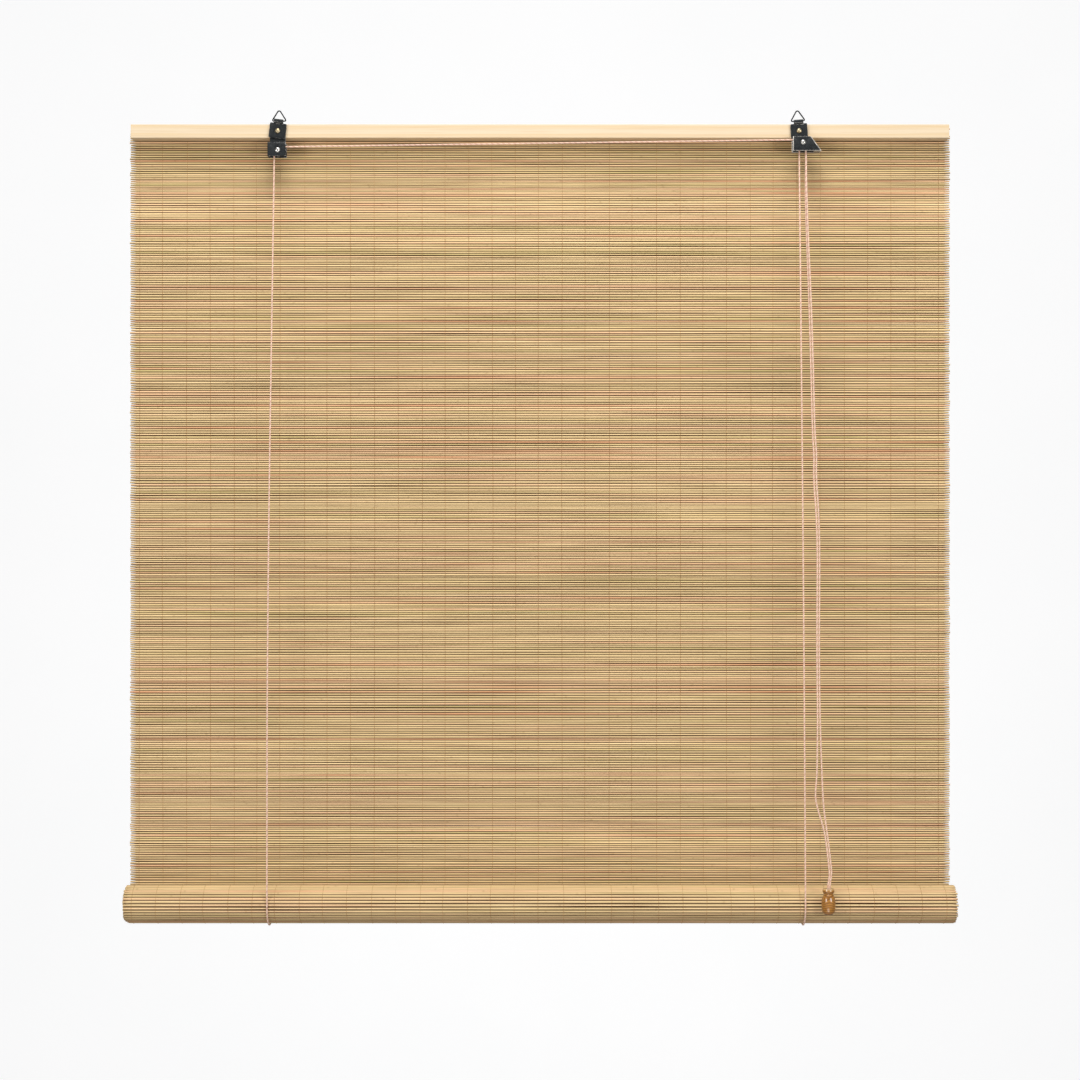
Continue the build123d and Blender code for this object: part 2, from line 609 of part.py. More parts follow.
left_cord_x = LEFT_PULLEY_X - LEFT_CORD_TURN
lock_cord_left = LOCK_PULLEY_X - LOCK_CORD_TURN
lock_cord_right = LOCK_PULLEY_X + LOCK_CORD_TURN
front_groove_y = pulley_y - CORD_SPACING / 2
back_groove_y = pulley_y + CORD_SPACING / 2
left_exit_z = LEFT_HOUSING_BOTTOM - CORD_EXIT_DROP
lock_exit_z = LOCK_HOUSING_BOTTOM - CORD_EXIT_DROP

# from the left pulley's foot, over the pulley, along under the rail and over the lock pulley
cross_points = [
    (left_cord_x, pulley_y, left_exit_z),
    (left_cord_x, pulley_y, LEFT_PULLEY_Z + LEFT_CORD_TURN),
    (lock_cord_right, front_groove_y, LOCK_PULLEY_Z + LOCK_CORD_TURN),
    (lock_cord_right, front_groove_y, lock_exit_z),
]
with BuildLine() as cross_path:
    FilletPolyline(*cross_points, radius=[LEFT_CORD_TURN, LOCK_CORD_TURN])
cord_tube("cross_cord", cross_path)

# the right lift cord turns over the same pulley, in its back groove
with BuildLine(Plane.XZ.offset(-back_groove_y)) as right_turn_path:
    Line((lock_cord_left, lock_exit_z), (lock_cord_left, LOCK_PULLEY_Z))
    CenterArc((LOCK_PULLEY_X, LOCK_PULLEY_Z), LOCK_CORD_TURN, 180, -180)
    Line((lock_cord_right, LOCK_PULLEY_Z), (lock_cord_right, lock_exit_z))
cord_tube("right_cord_turn", right_turn_path)

# the stretches in front of the mat, which carry the roll
left_front_points = [
    (left_cord_x, pulley_y, left_exit_z - CORD_JOINT_GAP),
    (left_cord_x - 0.1, pulley_y - 0.4, left_exit_z - 12),
    (-294.4, -16.4, -545.0),
    (-293.6, front_cord_y, -842.0),
    (-293.6, front_cord_y, roll_z + BODY_GAP),
]
right_front_points = [
    (lock_cord_left, back_groove_y, lock_exit_z - CORD_JOINT_GAP),
    (lock_cord_left + 0.1, back_groove_y - 0.4, lock_exit_z - 12),
    (284.6, -14.6, -500.0),
    (285.4, front_cord_y, -842.0),
    (285.4, front_cord_y, roll_z + BODY_GAP),
]
lift_cords = (("left", left_front_points), ("right", right_front_points))
for side_name, points in lift_cords:
    radii = cord_corner_radii(points)
    print(side_name, "front run radii", [round(r) for r in radii])
    with BuildLine() as front_path:
        FilletPolyline(*points, radius=radii)
    cord_tube(f"{side_name}_lift_cord_front", front_path)

    # the sling under the roll rises with it
    cord_x = points[-1][0]
    with BuildLine(Plane.YZ.offset(cord_x)) as sling_path:
        CenterArc((roll_y, roll_z), sling_radius, 180, 180)
    cord_tube(f"{side_name}_cord_sling", sling_path)

    # behind the mat, up to the knotted end on the rail's back
    knot_z = CORD_ANCHOR_Z + STAPLE_WIRE + KNOT_RADIUS
    with BuildPart() as back_cord:
        with BuildSketch(Plane.XY.offset(roll_z + BODY_GAP)):
            with Locations((cord_x, back_cord_y)):
                Circle(cord_radius)
        extrude(amount=knot_z - roll_z - BODY_GAP)
        with Locations((cord_x, mat_back_y + KNOT_RADIUS, knot_z)):
            Sphere(KNOT_RADIUS)
    back_cord.part.label = f"{side_name}_lift_cord_back"
    export_step(back_cord.part, f"parts/{side_name}_lift_cord_back.step")

    cord_back_y = back_cord_y + cord_radius
    staple_bite = STAPLE_THICKNESS + cord_back_y - mat_back_y + MAT_THICKNESS + STAPLE_BITE
    with BuildPart() as cord_staple:
        with BuildSketch(Plane((cord_x, cord_back_y + STAPLE_THICKNESS, CORD_ANCHOR_Z))):
            staple_profile(CORD_STAPLE_WIDTH, staple_bite)
        extrude(amount=STAPLE_WIRE / 2, both=True)
    cord_staple.part.label = f"{side_name}_cord_staple"
    export_step(cord_staple.part, f"parts/{side_name}_cord_staple.step")


# ---------------------------------------------------------------- pull knob and the knot inside it
knob_base_z = KNOB_TOP_Z - KNOB_HEIGHT
pocket_top_z = knob_base_z + KNOB_POCKET_DEPTH
with BuildPart() as pull_knob:
    with BuildSketch(Plane((KNOB_X, knob_y, knob_base_z), x_dir=(1, 0, 0), z_dir=(0, -1, 0))):
        with BuildLine():
            neck_height = KNOB_HEIGHT * KNOB_NECK_LEVEL
            collar_height = KNOB_HEIGHT * KNOB_COLLAR_LEVEL
            belly_height = KNOB_HEIGHT * KNOB_BELLY_LEVEL
            Line((0, 0), (KNOB_FOOT_RADIUS, 0))
            Spline(
                (KNOB_FOOT_RADIUS, 0),
                (KNOB_RADIUS, belly_height),
                (KNOB_NECK_RADIUS, neck_height),
                tangents=((1, 0.45), (0, 1), (-0.6, 1)),
            )
            Spline(
                (KNOB_NECK_RADIUS, neck_height),
                (KNOB_COLLAR_RADIUS, collar_height),
                tangents=((0, 1), (0.5, 1)),
            )
            Polyline(
                (KNOB_COLLAR_RADIUS, collar_height),
                (KNOB_COLLAR_RADIUS - KNOB_EDGE, KNOB_HEIGHT),
                (0, KNOB_HEIGHT),
                (0, 0),
            )
        make_face()
    revolve(axis=Axis((KNOB_X, knob_y, knob_base_z), (0, 0, 1)))
    for hole_radius, hole_depth in ((KNOB_BORE_RADIUS, KNOB_HEIGHT), (KNOB_POCKET_RADIUS, KNOB_POCKET_DEPTH)):
        with BuildSketch(Plane.XY.offset(knob_base_z)):
            with Locations((KNOB_X, knob_y)):
                Circle(hole_radius)
        extrude(amount=hole_depth, mode=Mode.SUBTRACT)
pull_knob.part.label = "pull_knob"
export_step(pull_knob.part, "parts/pull_knob.step")

knot_top_z = pocket_top_z - ROD_CLEARANCE
with BuildPart() as pull_cord_knot:
    with BuildSketch(Plane.XY.offset(knot_top_z - PULL_KNOT_HEIGHT)):
        with Locations((KNOB_X, knob_y)):
            Circle(PULL_KNOT_RADIUS)
    extrude(amount=PULL_KNOT_HEIGHT)
    fillet(pull_cord_knot.edges(), PULL_KNOT_ROUNDING)
pull_cord_knot.part.label = "pull_cord_knot"
export_step(pull_cord_knot.part, "parts/pull_cord_knot.step")

# ---------------------------------------------------------------- the two strands of the pull cord
strand_top_z = lock_exit_z - BODY_GAP
strand_end_z = knot_top_z + ROD_CLEARANCE
left_strand_points = [
    (lock_cord_right, back_groove_y, strand_top_z),
    (288.8, -2.3, -62.0),
    (288.3, -3.6, -94.0),
    (289.6, -5.7, -146.0),
    (291.5, -7.6, -200.0),
    (292.7, -9.4, -250.0),
    (293.9, -11.1, -304.0),
    (294.6, -13.0, -352.0),
    (296.4, -13.9, -377.0),
    (295.4, -14.7, -399.0),
    (298.5, -16.3, -440.0),
    (299.3, -18.1, -488.0),
    (298.4, -20.2, -544.0),
    (298.1, -22.1, -600.0),
    (298.5, -24.2, -652.0),
    (298.0, -25.5, -690.0),
    (297.4, -26.8, -720.0),
    (294.9, -27.6, -742.0),
    (299.4, -28.2, -760.0),
    (304.9, -28.8, -777.0),
    (307.9, -29.6, -799.0),
    (309.5, -30.1, -815.0),
    (310.6, -30.5, -826.0),
    (KNOB_X - STRAND_OFFSET, knob_y, -836.0),
    (KNOB_X - STRAND_OFFSET, knob_y, strand_end_z),
]
right_strand_points = [
    (lock_cord_right, front_groove_y, strand_top_z),
    (289.1, -4.7, -61.0),
    (289.4, -6.1, -92.0),
    (291.0, -8.3, -144.0),
    (293.3, -9.9, -199.0),
    (294.9, -11.3, -251.0),
    (296.0, -12.9, -302.0),
    (296.9, -14.4, -350.0),
    (298.9, -15.2, -375.0),
    (297.9, -16.1, -397.0),
    (300.9, -17.3, -438.0),
    (301.6, -18.9, -488.0),
    (300.8, -20.8, -546.0),
    (300.5, -22.5, -602.0),
    (301.0, -24.2, -654.0),
    (301.9, -25.8, -694.0),
    (303.1, -26.9, -728.0),
    (304.3, -27.6, -753.0),
    (307.3, -28.5, -775.0),
    (310.2, -29.6, -798.0),
    (311.8, -30.3, -814.0),
    (312.7, -30.7, -825.0),
    (KNOB_X + STRAND_OFFSET, knob_y, -836.0),
    (KNOB_X + STRAND_OFFSET, knob_y, strand_end_z),
]
strands = (("pull_cord_left_strand", left_strand_points), ("pull_cord_right_strand", right_strand_points))
for strand_name, points in strands:
    radii = cord_corner_radii(points)
    print(strand_name, "corner radii", [round(r) for r in radii])
    with BuildLine() as strand_path:
        FilletPolyline(*points, radius=radii)
    cord_tube(strand_name, strand_path)
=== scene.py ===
# %% [markdown]
# # A bamboo roll-up blind
# The blind is a mat of split bamboo, woven with thin threads and stapled to a pine headrail. Cords carry it:
# they run from the rail down behind the mat, under the roll, up the front, over a pulley and through a lock,
# and end in a turned wooden pull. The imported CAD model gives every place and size. This script builds what
# the eye sees round it: single splints, threads, twisted cords, worn black plates.

from math import cos, pi, radians, sin, tau

import bpy
import numpy as np
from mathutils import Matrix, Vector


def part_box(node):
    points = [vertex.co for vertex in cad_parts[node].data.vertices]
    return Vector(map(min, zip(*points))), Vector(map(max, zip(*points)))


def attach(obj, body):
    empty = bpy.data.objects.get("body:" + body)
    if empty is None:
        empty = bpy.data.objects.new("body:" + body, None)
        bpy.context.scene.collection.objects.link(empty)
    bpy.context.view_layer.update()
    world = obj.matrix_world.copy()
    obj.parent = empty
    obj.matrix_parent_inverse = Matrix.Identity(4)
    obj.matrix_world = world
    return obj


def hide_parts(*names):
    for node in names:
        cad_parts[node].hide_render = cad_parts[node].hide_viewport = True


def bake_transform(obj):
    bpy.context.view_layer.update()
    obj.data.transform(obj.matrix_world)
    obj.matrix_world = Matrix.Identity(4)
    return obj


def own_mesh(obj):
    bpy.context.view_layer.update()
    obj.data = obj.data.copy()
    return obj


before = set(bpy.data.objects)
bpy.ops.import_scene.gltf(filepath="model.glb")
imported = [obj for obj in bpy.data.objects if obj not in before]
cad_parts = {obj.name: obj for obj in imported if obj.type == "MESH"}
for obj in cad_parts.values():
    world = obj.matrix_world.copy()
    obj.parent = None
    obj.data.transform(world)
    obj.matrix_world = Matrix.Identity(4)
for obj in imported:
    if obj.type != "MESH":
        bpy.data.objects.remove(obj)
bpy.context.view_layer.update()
scene = bpy.context.scene
dice = np.random.default_rng(11)
MM = 0.001

# %% [markdown]
# ## Small helpers
# Operators act on whatever is selected, so each starts from a clean selection. A finished piece keeps its
# place in its mesh, rides on a body of the mechanism and has one finish.

# %% Select one piece, and finish a piece
set_mode = bpy.ops.object.mode_set


def deselect():
    """Leave edit mode and let go of everything."""
    if bpy.context.object and bpy.context.object.mode != "OBJECT":
        set_mode(mode="OBJECT")
    bpy.ops.object.select_all(action="DESELECT")


def take_up(piece):
    """Select one piece and make it the active one."""
    deselect()
    piece.select_set(True)
    bpy.context.view_layer.objects.active = piece


def finish_piece(piece, name, body, material, nodes=(), smooth_angle=None):
    """Name a piece, give it its finish, and let it ride on its body in place of its CAD nodes."""
    piece.name = name
    piece.data.name = name
    piece.data.materials.clear()
    piece.data.materials.append(material)
    if smooth_angle is not None:
        take_up(piece)
        bpy.ops.object.shade_smooth_by_angle(angle=radians(smooth_angle))
    if body is not None:
        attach(piece, body)
    if nodes:
        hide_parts(*nodes)
    print(name, len(piece.data.vertices), "points", len(piece.data.polygons), "faces")
    return piece


def mesh_piece(name, points, faces):
    """A new object."""
    mesh = bpy.data.meshes.new(name)
    mesh.from_pydata(points.tolist(), [], faces)
    piece = bpy.data.objects.new(name, mesh)
    scene.collection.objects.link(piece)
    return piece


# %% [markdown]
# ## Camera
# The view is square on, level with the middle of the mat and two metres away, so that the roll, which hangs
# nearer, looks a little wider than the mat.

# %% Camera
SENSOR_WIDTH = 36.0
LENS = 61.64
CAMERA_PLACE = (0, -2.0123, -0.4661)
camera_data = bpy.data.cameras.new("camera")
camera_data.sensor_width = SENSOR_WIDTH
camera_data.lens = LENS
camera = bpy.data.objects.new("camera", camera_data)
camera.location = CAMERA_PLACE
camera.rotation_euler = (pi / 2, 0, 0)
scene.collection.objects.link(camera)
scene.camera = camera
scene.view_settings.view_transform = "Standard"
print("camera: lens", LENS, "place", CAMERA_PLACE)

# %% [markdown]
# ## Cord routes
# A cord's line is a smooth NURBS curve near a few chosen points. Order 3 and the end-point switch have to be
# set after the points are added. A mesh made from the curve gives the points that the cord is built round.

# %% Read a smooth route from its control points
CURVE_STEPS = 24  # how finely the curve is read between two control points
SAME_PLACE = 1e-7  # points nearer than this, in metres, are one point
FEWEST_RUNS = 8


def reach_along(line):
    """How far along the line each of its points lies."""
    return np.concatenate([[0], np.cumsum(np.linalg.norm(np.diff(line, axis=0), axis=1))])


def smooth_route(control_points, step):
    """Points every step metres along the NURBS curve that has these control points, given in millimetres."""
    data = bpy.data.curves.new("route", "CURVE")
    data.dimensions = "3D"
    data.resolution_u = CURVE_STEPS
    line = data.splines.new("NURBS")
    line.points.add(len(control_points) - 1)
    for point, place in zip(line.points, control_points):
        point.co = (place[0] * MM, place[1] * MM, place[2] * MM, 1)
    line.order_u = 3
    line.use_endpoint_u = True
    carrier = bpy.data.objects.new("route", data)
    scene.collection.objects.link(carrier)
    mesh = bpy.data.meshes.new_from_object(carrier)
    found = np.array([v.co for v in mesh.vertices])
    bpy.data.objects.remove(carrier)
    bpy.data.curves.remove(data)
    bpy.data.meshes.remove(mesh)
    gaps = np.linalg.norm(np.diff(found, axis=0), axis=1)
    found = found[np.concatenate([[True], gaps > SAME_PLACE])]
    reach = reach_along(found)
    stops = np.linspace(0, reach[-1], max(FEWEST_RUNS, int(round(reach[-1] / step))) + 1)
    return np.stack([np.interp(stops, reach, found[:, axis]) for axis in range(3)], axis=1)


# %% [markdown]
# ## Tubes round a line
# Threads and cords are tubes. Two directions across the line are carried along it without twisting and place
# each ring of the tube. The rings are skinned with four-sided faces and closed at both ends.


# %% Carry a pair of cross directions along a line, and skin rings
def cross_directions(line):
    """Two unit directions across the line at each of its points, carried along it with no twist."""
    ahead = np.gradient(line, axis=0)
    ahead /= np.linalg.norm(ahead, axis=1)[:, None]
    first = np.cross(ahead[0], (0.0, 1.0, 0.0))
    if np.linalg.norm(first) < 0.1:  # the line sets off along Y, so X is the safer start
        first = np.cross(ahead[0], (1.0, 0.0, 0.0))
    across = np.empty_like(line)
    across[0] = first / np.linalg.norm(first)
    for i in range(1, len(line)):
        carried = across[i - 1] - ahead[i] * np.dot(across[i - 1], ahead[i])
        across[i] = carried / np.linalg.norm(carried)
    return across, np.cross(ahead, across)


def skin(rings, start=0):
    """Faces of a closed tube through rings of shape (rings, points round, 3), numbered from start."""
    count, around = rings.shape[:2]
    number = np.arange(count * around).reshape(count, around) + start
    near, far = number[:-1], number[1:]
    walls = np.stack([near, np.roll(near, -1, 1), np.roll(far, -1, 1), far], axis=-1)
    return walls.reshape(-1, 4).tolist() + [number[0][::-1].tolist(), number[-1].tolist()]


# %% [markdown]
# ## Twisted cord
# The cord is laid from three plies. A round tube with a painted twist would look flat, and three separate
# helices cut into each other, so one tube is used whose section has three lobes and turns as it runs. Each
# point also keeps which ply it lies on, so the plies can differ in colour.

# %% Lay a twisted cord along a route
CORD_RADIUS = 0.9 * MM
CORD_LAY = 6.0 * MM  # the length in which a ply goes once round
CORD_PLIES = 3
RINGS_PER_LAY = 9
CORD_STEP = CORD_LAY / RINGS_PER_LAY
SECTION_POINTS = 12
LOBE_DEPTH = 0.15


def twisted_cord(name, line):
    """A closed tube along the line, its section lobed and turning once in each lay."""
    across, up = cross_directions(line)
    turn = tau * reach_along(line) / CORD_LAY
    angle = np.linspace(0, tau, SECTION_POINTS, endpoint=False)
    from_ply = angle[None] - turn[:, None]
    lobes = CORD_RADIUS * (1 - LOBE_DEPTH / 2 + LOBE_DEPTH / 2 * np.cos(CORD_PLIES * from_ply))
    rings = (
        line[:, None]
        + (lobes * np.cos(angle))[..., None] * across[:, None]
        + (lobes * np.sin(angle))[..., None] * up[:, None]
    )
    cord = mesh_piece(name, rings.reshape(-1, 3), skin(rings))
    ply = 0.5 + 0.5 * np.cos(from_ply)
    # painted shade: one in the creases between the plies, zero on their crowns
    crease_shade = 0.5 - 0.5 * np.cos(CORD_PLIES * from_ply)
    for label, values in (("ply", ply), ("crease_shade", crease_shade)):
        cord.data.attributes.new(label, "FLOAT", "POINT").data.foreach_set("value", values.ravel())
    return cord


print(f"cord: {2 * CORD_RADIUS / MM:.1f} mm thick, one turn in {CORD_LAY / MM:.0f} mm")

# %% [markdown]
# ## Colours and finishes
# Each finish is a node material that reads object coordinates or a value kept on the mesh. Effects that more
# than one finish uses are node groups. The helpers write the kinds of node that come back in every finish.


# %% Node helpers
def paint(red, green, blue):
    """A colour chosen on screen, 0 to 255, as the linear values a shader wants."""
    channels = [v / 255 for v in (red, green, blue)]
    return [c / 12.92 if c <= 0.04045 else ((c + 0.055) / 1.055) ** 2.4 for c in channels] + [1]


def add_node(tree, kind, settings=None, **inputs):
    """Add a node. Inputs are named by socket or number (i0), and joined to a socket or set to a value."""
    node = tree.nodes.new("ShaderNode" + kind)
    for key, value in (settings or {}).items():
        setattr(node, key, value)
    for key, value in inputs.items():
        socket = node.inputs[int(key[1:]) if key[0] == "i" and key[1:].isdigit() else key.replace("_", " ")]
        if isinstance(value, bpy.types.NodeSocket):
            tree.links.new(value, socket)
        else:
            socket.default_value = value
    return node


def calculate(tree, operation, first, second=0.0):
    """One Math node."""
    return add_node(tree, "Math", {"operation": operation}, i0=first, i1=second).outputs[0]


def multiply(tree, first, second):
    """Two values multiplied."""
    return calculate(tree, "MULTIPLY", first, second)


def weigh(tree, first, first_share, second):
    """A weighted mean of two values."""
    return calculate(tree, "ADD", multiply(tree, first, first_share), multiply(tree, second, 1 - first_share))


def blend_colours(tree, share, first, second):
    """Mix two colours by a share."""
    return add_node(tree, "Mix", {"data_type": "RGBA"}, i0=share, i6=first, i7=second).outputs[2]


def stretch(tree, low, high, value, new_low=0.0, new_high=1.0):
    """Map a value from one range to another, held at both ends."""
    node = add_node(tree, "MapRange", i0=value, i1=low, i2=high, i3=new_low, i4=new_high)
    return node.outputs[0]


def noise(tree, place, scale, detail, roughness=0.5):
    """A cloudy noise read at a place."""
    node = add_node(tree, "TexNoise", Vector=place, Scale=scale, Detail=detail, Roughness=roughness)
    return node.outputs[0]


def read_value(tree, name):
    """A value kept on the mesh under a name."""
    return add_node(tree, "Attribute", {"attribute_name": name}).outputs["Fac"]


def object_place(tree):
    """The place of each point in the piece's own coordinates."""
    return add_node(tree, "TexCoord").outputs["Object"]


def split_place(tree, place):
    """The x, y and z of a place."""
    return add_node(tree, "SeparateXYZ", i0=place).outputs


def scale_place(tree, place, factors):
    """A place scaled, so that a pattern read there is stretched or squeezed."""
    settings = {"operation": "MULTIPLY"}
    return add_node(tree, "VectorMath", settings, i0=place, i1=factors).outputs[0]


def new_finish(name, **sockets):
    """A material, its tree and its shader, with even values on the shader's own sockets."""
    material = bpy.data.materials.new(name)
    material.use_nodes = True
    shader = material.node_tree.nodes["Principled BSDF"]
    for key, value in sockets.items():
        shader.inputs[key.replace("_", " ")].default_value = value
    return material, material.node_tree, shader


def connect(tree, shader, colour, roughness=None, relief=None, strength=0.0, depth=0.0):
    """Join a finish's colour, roughness and relief to its shader."""
    tree.links.new(colour, shader.inputs["Base Color"])
    if roughness is not None:
        tree.links.new(roughness, shader.inputs["Roughness"])
    if relief is not None:
        bump = add_node(tree, "Bump", Strength=strength, Distance=depth, Height=relief)
        tree.links.new(bump.outputs[0], shader.inputs["Normal"])
    print("finish with", len(tree.nodes), "nodes")


def group_tree(name, inputs, outputs):
    """An empty node group with its named inputs and outputs."""
    tree = bpy.data.node_groups.new(name, "ShaderNodeTree")
    for label, default in inputs:
        socket = tree.interface.new_socket(name=label, in_out="INPUT", socket_type="NodeSocketFloat")
        socket.default_value = default
    for label in outputs:
        tree.interface.new_socket(name=label, in_out="OUTPUT", socket_type="NodeSocketFloat")
    return tree, tree.nodes.new("NodeGroupInput").outputs, tree.nodes.new("NodeGroupOutput").inputs


FINE_RELIEF = 0.1 * MM
WOOD_RELIEF = 0.2 * MM

# %% [markdown]
# ### Fine mottle
# Rolled and moulded surfaces are never even. Two noises of different size give values that shift a colour or
# a roughness a little.

# %% Node group: fine mottle
SPECKLE_FINENESS = 4.3  # how much finer the speckle is than the mottle
tree, given, result = group_tree("fine mottle", [("Size", 400.0)], ["Mottle", "Speckle"])
mottle_group = tree
place = object_place(tree)
broad = noise(tree, place, given[0], 3.0, 0.6)
fine = noise(tree, place, multiply(tree, given[0], SPECKLE_FINENESS), 2.0)
tree.links.new(stretch(tree, 0.3, 0.7, broad), result[0])
tree.links.new(stretch(tree, 0.4, 0.66, fine), result[1])


def add_mottle(tree, size):
    """The mottle group in a finish; returns its two values."""
    return add_node(tree, "Group", {"node_tree": mottle_group}, Size=size).outputs[:2]


print(tree.name, "group:", len(tree.nodes), "nodes")

# %% [markdown]
# ### Edge wear and painted highlight
# Black coating rubs through on folds and cut edges, and these edges catch the light. The bevelled faces of each
# plate carry the value "edge", and noise breaks it up, so that near-white shows in patches: partly bare metal,
# partly painted highlight.

# %% Node group: edge wear and painted highlight
tree, given, result = group_tree("edge wear and painted highlight", [("Amount", 0.5)], ["Bare"])
edge_wear_and_highlight_group = tree
patch_noise = noise(tree, object_place(tree), 260.0, 3.0, 0.65)
# near-white on the edges: partly bare metal, partly painted highlight
wear_and_highlight = calculate(tree, "ADD", stretch(tree, 0.3, 0.7, patch_noise), given[0])
wear_and_highlight = stretch(tree, 0.75, 1.05, wear_and_highlight)
tree.links.new(multiply(tree, read_value(tree, "edge"), wear_and_highlight), result[0])
print(tree.name, "group:", len(tree.nodes), "nodes")

# %% [markdown]
# ### Wood grain
# Growth rings are cylinders about the trunk's middle, so a board cut from them shows long lines on its faces
# and arcs on its ends. A bent ring wave about an axis beside the piece does both at once.

# %% Node group: wood grain
RING_STRETCH = (0.06, 1.0, 1.0)  # rings hardly change along the wood
FIBRE_STRETCH = (14.0, 900.0, 900.0)
tree, given, result = group_tree(
    "wood grain",
    [("Rings", 100.0), ("Bend", 2.0), ("Pores", 1.0), ("Heart Y", 0.0), ("Heart Z", 0.0)],
    ["Ring", "Fibre"],
)
grain_group = tree
place = object_place(tree)
heart = add_node(tree, "CombineXYZ", Y=given[3], Z=given[4]).outputs[0]
moved = add_node(tree, "VectorMath", {"operation": "SUBTRACT"}, i0=place, i1=heart).outputs[0]
rings = add_node(
    tree,
    "TexWave",
    {"wave_type": "RINGS", "rings_direction": "X", "wave_profile": "SAW"},
    Vector=scale_place(tree, moved, RING_STRETCH),
    Scale=given[0],
    Distortion=given[1],
    Detail=2.0,
    Detail_Scale=0.35,
)
fibre = noise(tree, scale_place(tree, place, FIBRE_STRETCH), given[2], 3.0)
tree.links.new(rings.outputs["Fac"], result[0])
tree.links.new(stretch(tree, 0.3, 0.7, fibre), result[1])


def add_grain(tree, **inputs):
    """The grain group in a finish; returns the ring and fibre values."""
    return add_node(tree, "Group", {"node_tree": grain_group}, **inputs).outputs[:2]


print(tree.name, "group:", len(tree.nodes), "nodes")

# %% [markdown]
# ### Split bamboo
# Splints come from different canes and different depths of their walls: cream, tan, pinkish and greenish. The
# colour drifts along each and fine fibres run along it. Its flanks are painted darker: painted shade for the
# grooves between neighbouring splints, heaviest on the lower flank, away from the light above.
# Each carries three random values, so neighbours differ and nothing lines up across the mat.

# %% Finish: split bamboo
CANE_COLOURS = (  # from greenish outer cane to pinkish inner cane
    (0.08, (208, 188, 128)),
    (0.3, (238, 208, 152)),
    (0.5, (248, 216, 162)),
    (0.72, (246, 202, 156)),
    (0.92, (228, 170, 126)),
)
# the last colour is painted shade for the grooves between splints, not a colour of the cane
CANE_STREAK, CANE_NODE, CANE_GROOVE_SHADE = (150, 108, 62), (128, 88, 46), (64, 36, 10)
NODES_PER_METRE = 3.1  # the cane's own joints, three or so on a splint
NODE_HALF_WIDTH = 0.006
CANE_FIBRES = (16.0, 2200.0, 2200.0)
bamboo, tree, shader = new_finish("split_bamboo", Roughness=0.5, Specular_IOR_Level=0.12)
draws = add_node(tree, "Attribute", {"attribute_name": "splint"}).outputs["Color"]
tone, hue, seed = add_node(tree, "SeparateColor", i0=draws).outputs
place = object_place(tree)
x = split_place(tree, place)[0]


def drift(per_metre, shift):
    """A noise that changes along a splint and from splint to splint."""
    own, paired = multiply(tree, seed, 613.0 + shift), multiply(tree, hue, 271.0 + shift)
    spot = add_node(tree, "CombineXYZ", X=multiply(tree, x, per_metre), Y=own, Z=paired).outputs[0]
    return stretch(tree, 0.28, 0.72, noise(tree, spot, 1.0, 1.0))


ramp = add_node(tree, "ValToRGB", Fac=weigh(tree, hue, 0.62, drift(5.0, 3.0)))
stops = ramp.color_ramp.elements
for stop, (position, colour) in zip(list(stops), (CANE_COLOURS[0], CANE_COLOURS[-1])):
    stop.position, stop.color = position, paint(*colour)
for position, colour in CANE_COLOURS[1:-1]:
    stops.new(position).color = paint(*colour)
light = stretch(tree, 0.0, 1.0, weigh(tree, tone, 0.6, drift(9.0, 9.0)), 0.78, 1.12)
shaded = add_node(tree, "VectorMath", {"operation": "SCALE"}, i0=ramp.outputs[0], Scale=light).outputs[0]
streak = noise(tree, scale_place(tree, place, CANE_FIBRES), 1.0, 3.0, 0.6)
streaked = blend_colours(tree, stretch(tree, 0.42, 0.75, streak, 0.0, 0.45), shaded, paint(*CANE_STREAK))
along_cane = calculate(tree, "ADD", multiply(tree, x, NODES_PER_METRE), multiply(tree, seed, 7.0))
from_node = calculate(tree, "ABSOLUTE", calculate(tree, "SUBTRACT", calculate(tree, "FRACT", along_cane), 0.5))
node_share = stretch(tree, 0.0, NODE_HALF_WIDTH, from_node, 0.2, 0.0)
knotted = blend_colours(tree, node_share, streaked, paint(*CANE_NODE))
# painted shade: each splint darkens towards its flanks, where the grooves between splints lie in shade, more along
# some stretches than others
groove_shade = stretch(tree, 0.2, 0.9, read_value(tree, "groove_shade"))
groove_shade = multiply(tree, groove_shade, stretch(tree, 0.0, 1.0, drift(6.0, 21.0), 0.55, 1.0))
bamboo_colour = blend_colours(tree, groove_shade, knotted, paint(*CANE_GROOVE_SHADE))
connect(tree, shader, bamboo_colour, stretch(tree, 0.3, 0.7, streak, 0.4, 0.62), streak, 0.25, WOOD_RELIEF)

# %% [markdown]
# ### Pine
# The headrail and the rod are pale planed pine, left bare. The heart of the tree lies well below the rail, so
# its rings show as long, slow lines on the rail's face.

# %% Finish: pine
pine, tree, shader = new_finish("planed_pine", Roughness=0.5, Specular_IOR_Level=0.3)
ring, fibre = add_grain(tree, Rings=34.0, Bend=7.0, Pores=1.0, Heart_Y=0.0, Heart_Z=-0.052)
pine_colour = blend_colours(tree, stretch(tree, 0.45, 1.0, ring), paint(222, 202, 172), paint(218, 192, 152))
pine_colour = blend_colours(tree, stretch(tree, 0.5, 1.0, fibre, 0.0, 0.4), pine_colour, paint(206, 176, 134))
connect(tree, shader, pine_colour, stretch(tree, 0.0, 1.0, fibre, 0.42, 0.6), fibre, 0.15, WOOD_RELIEF)

# %% [markdown]
# ### Turned and varnished wood
# The pull is turned from a browner wood and dipped in varnish, so it gets a clear coat over its grain. Its flat
# top is painted paler, a painted highlight where the top faces the light from above.

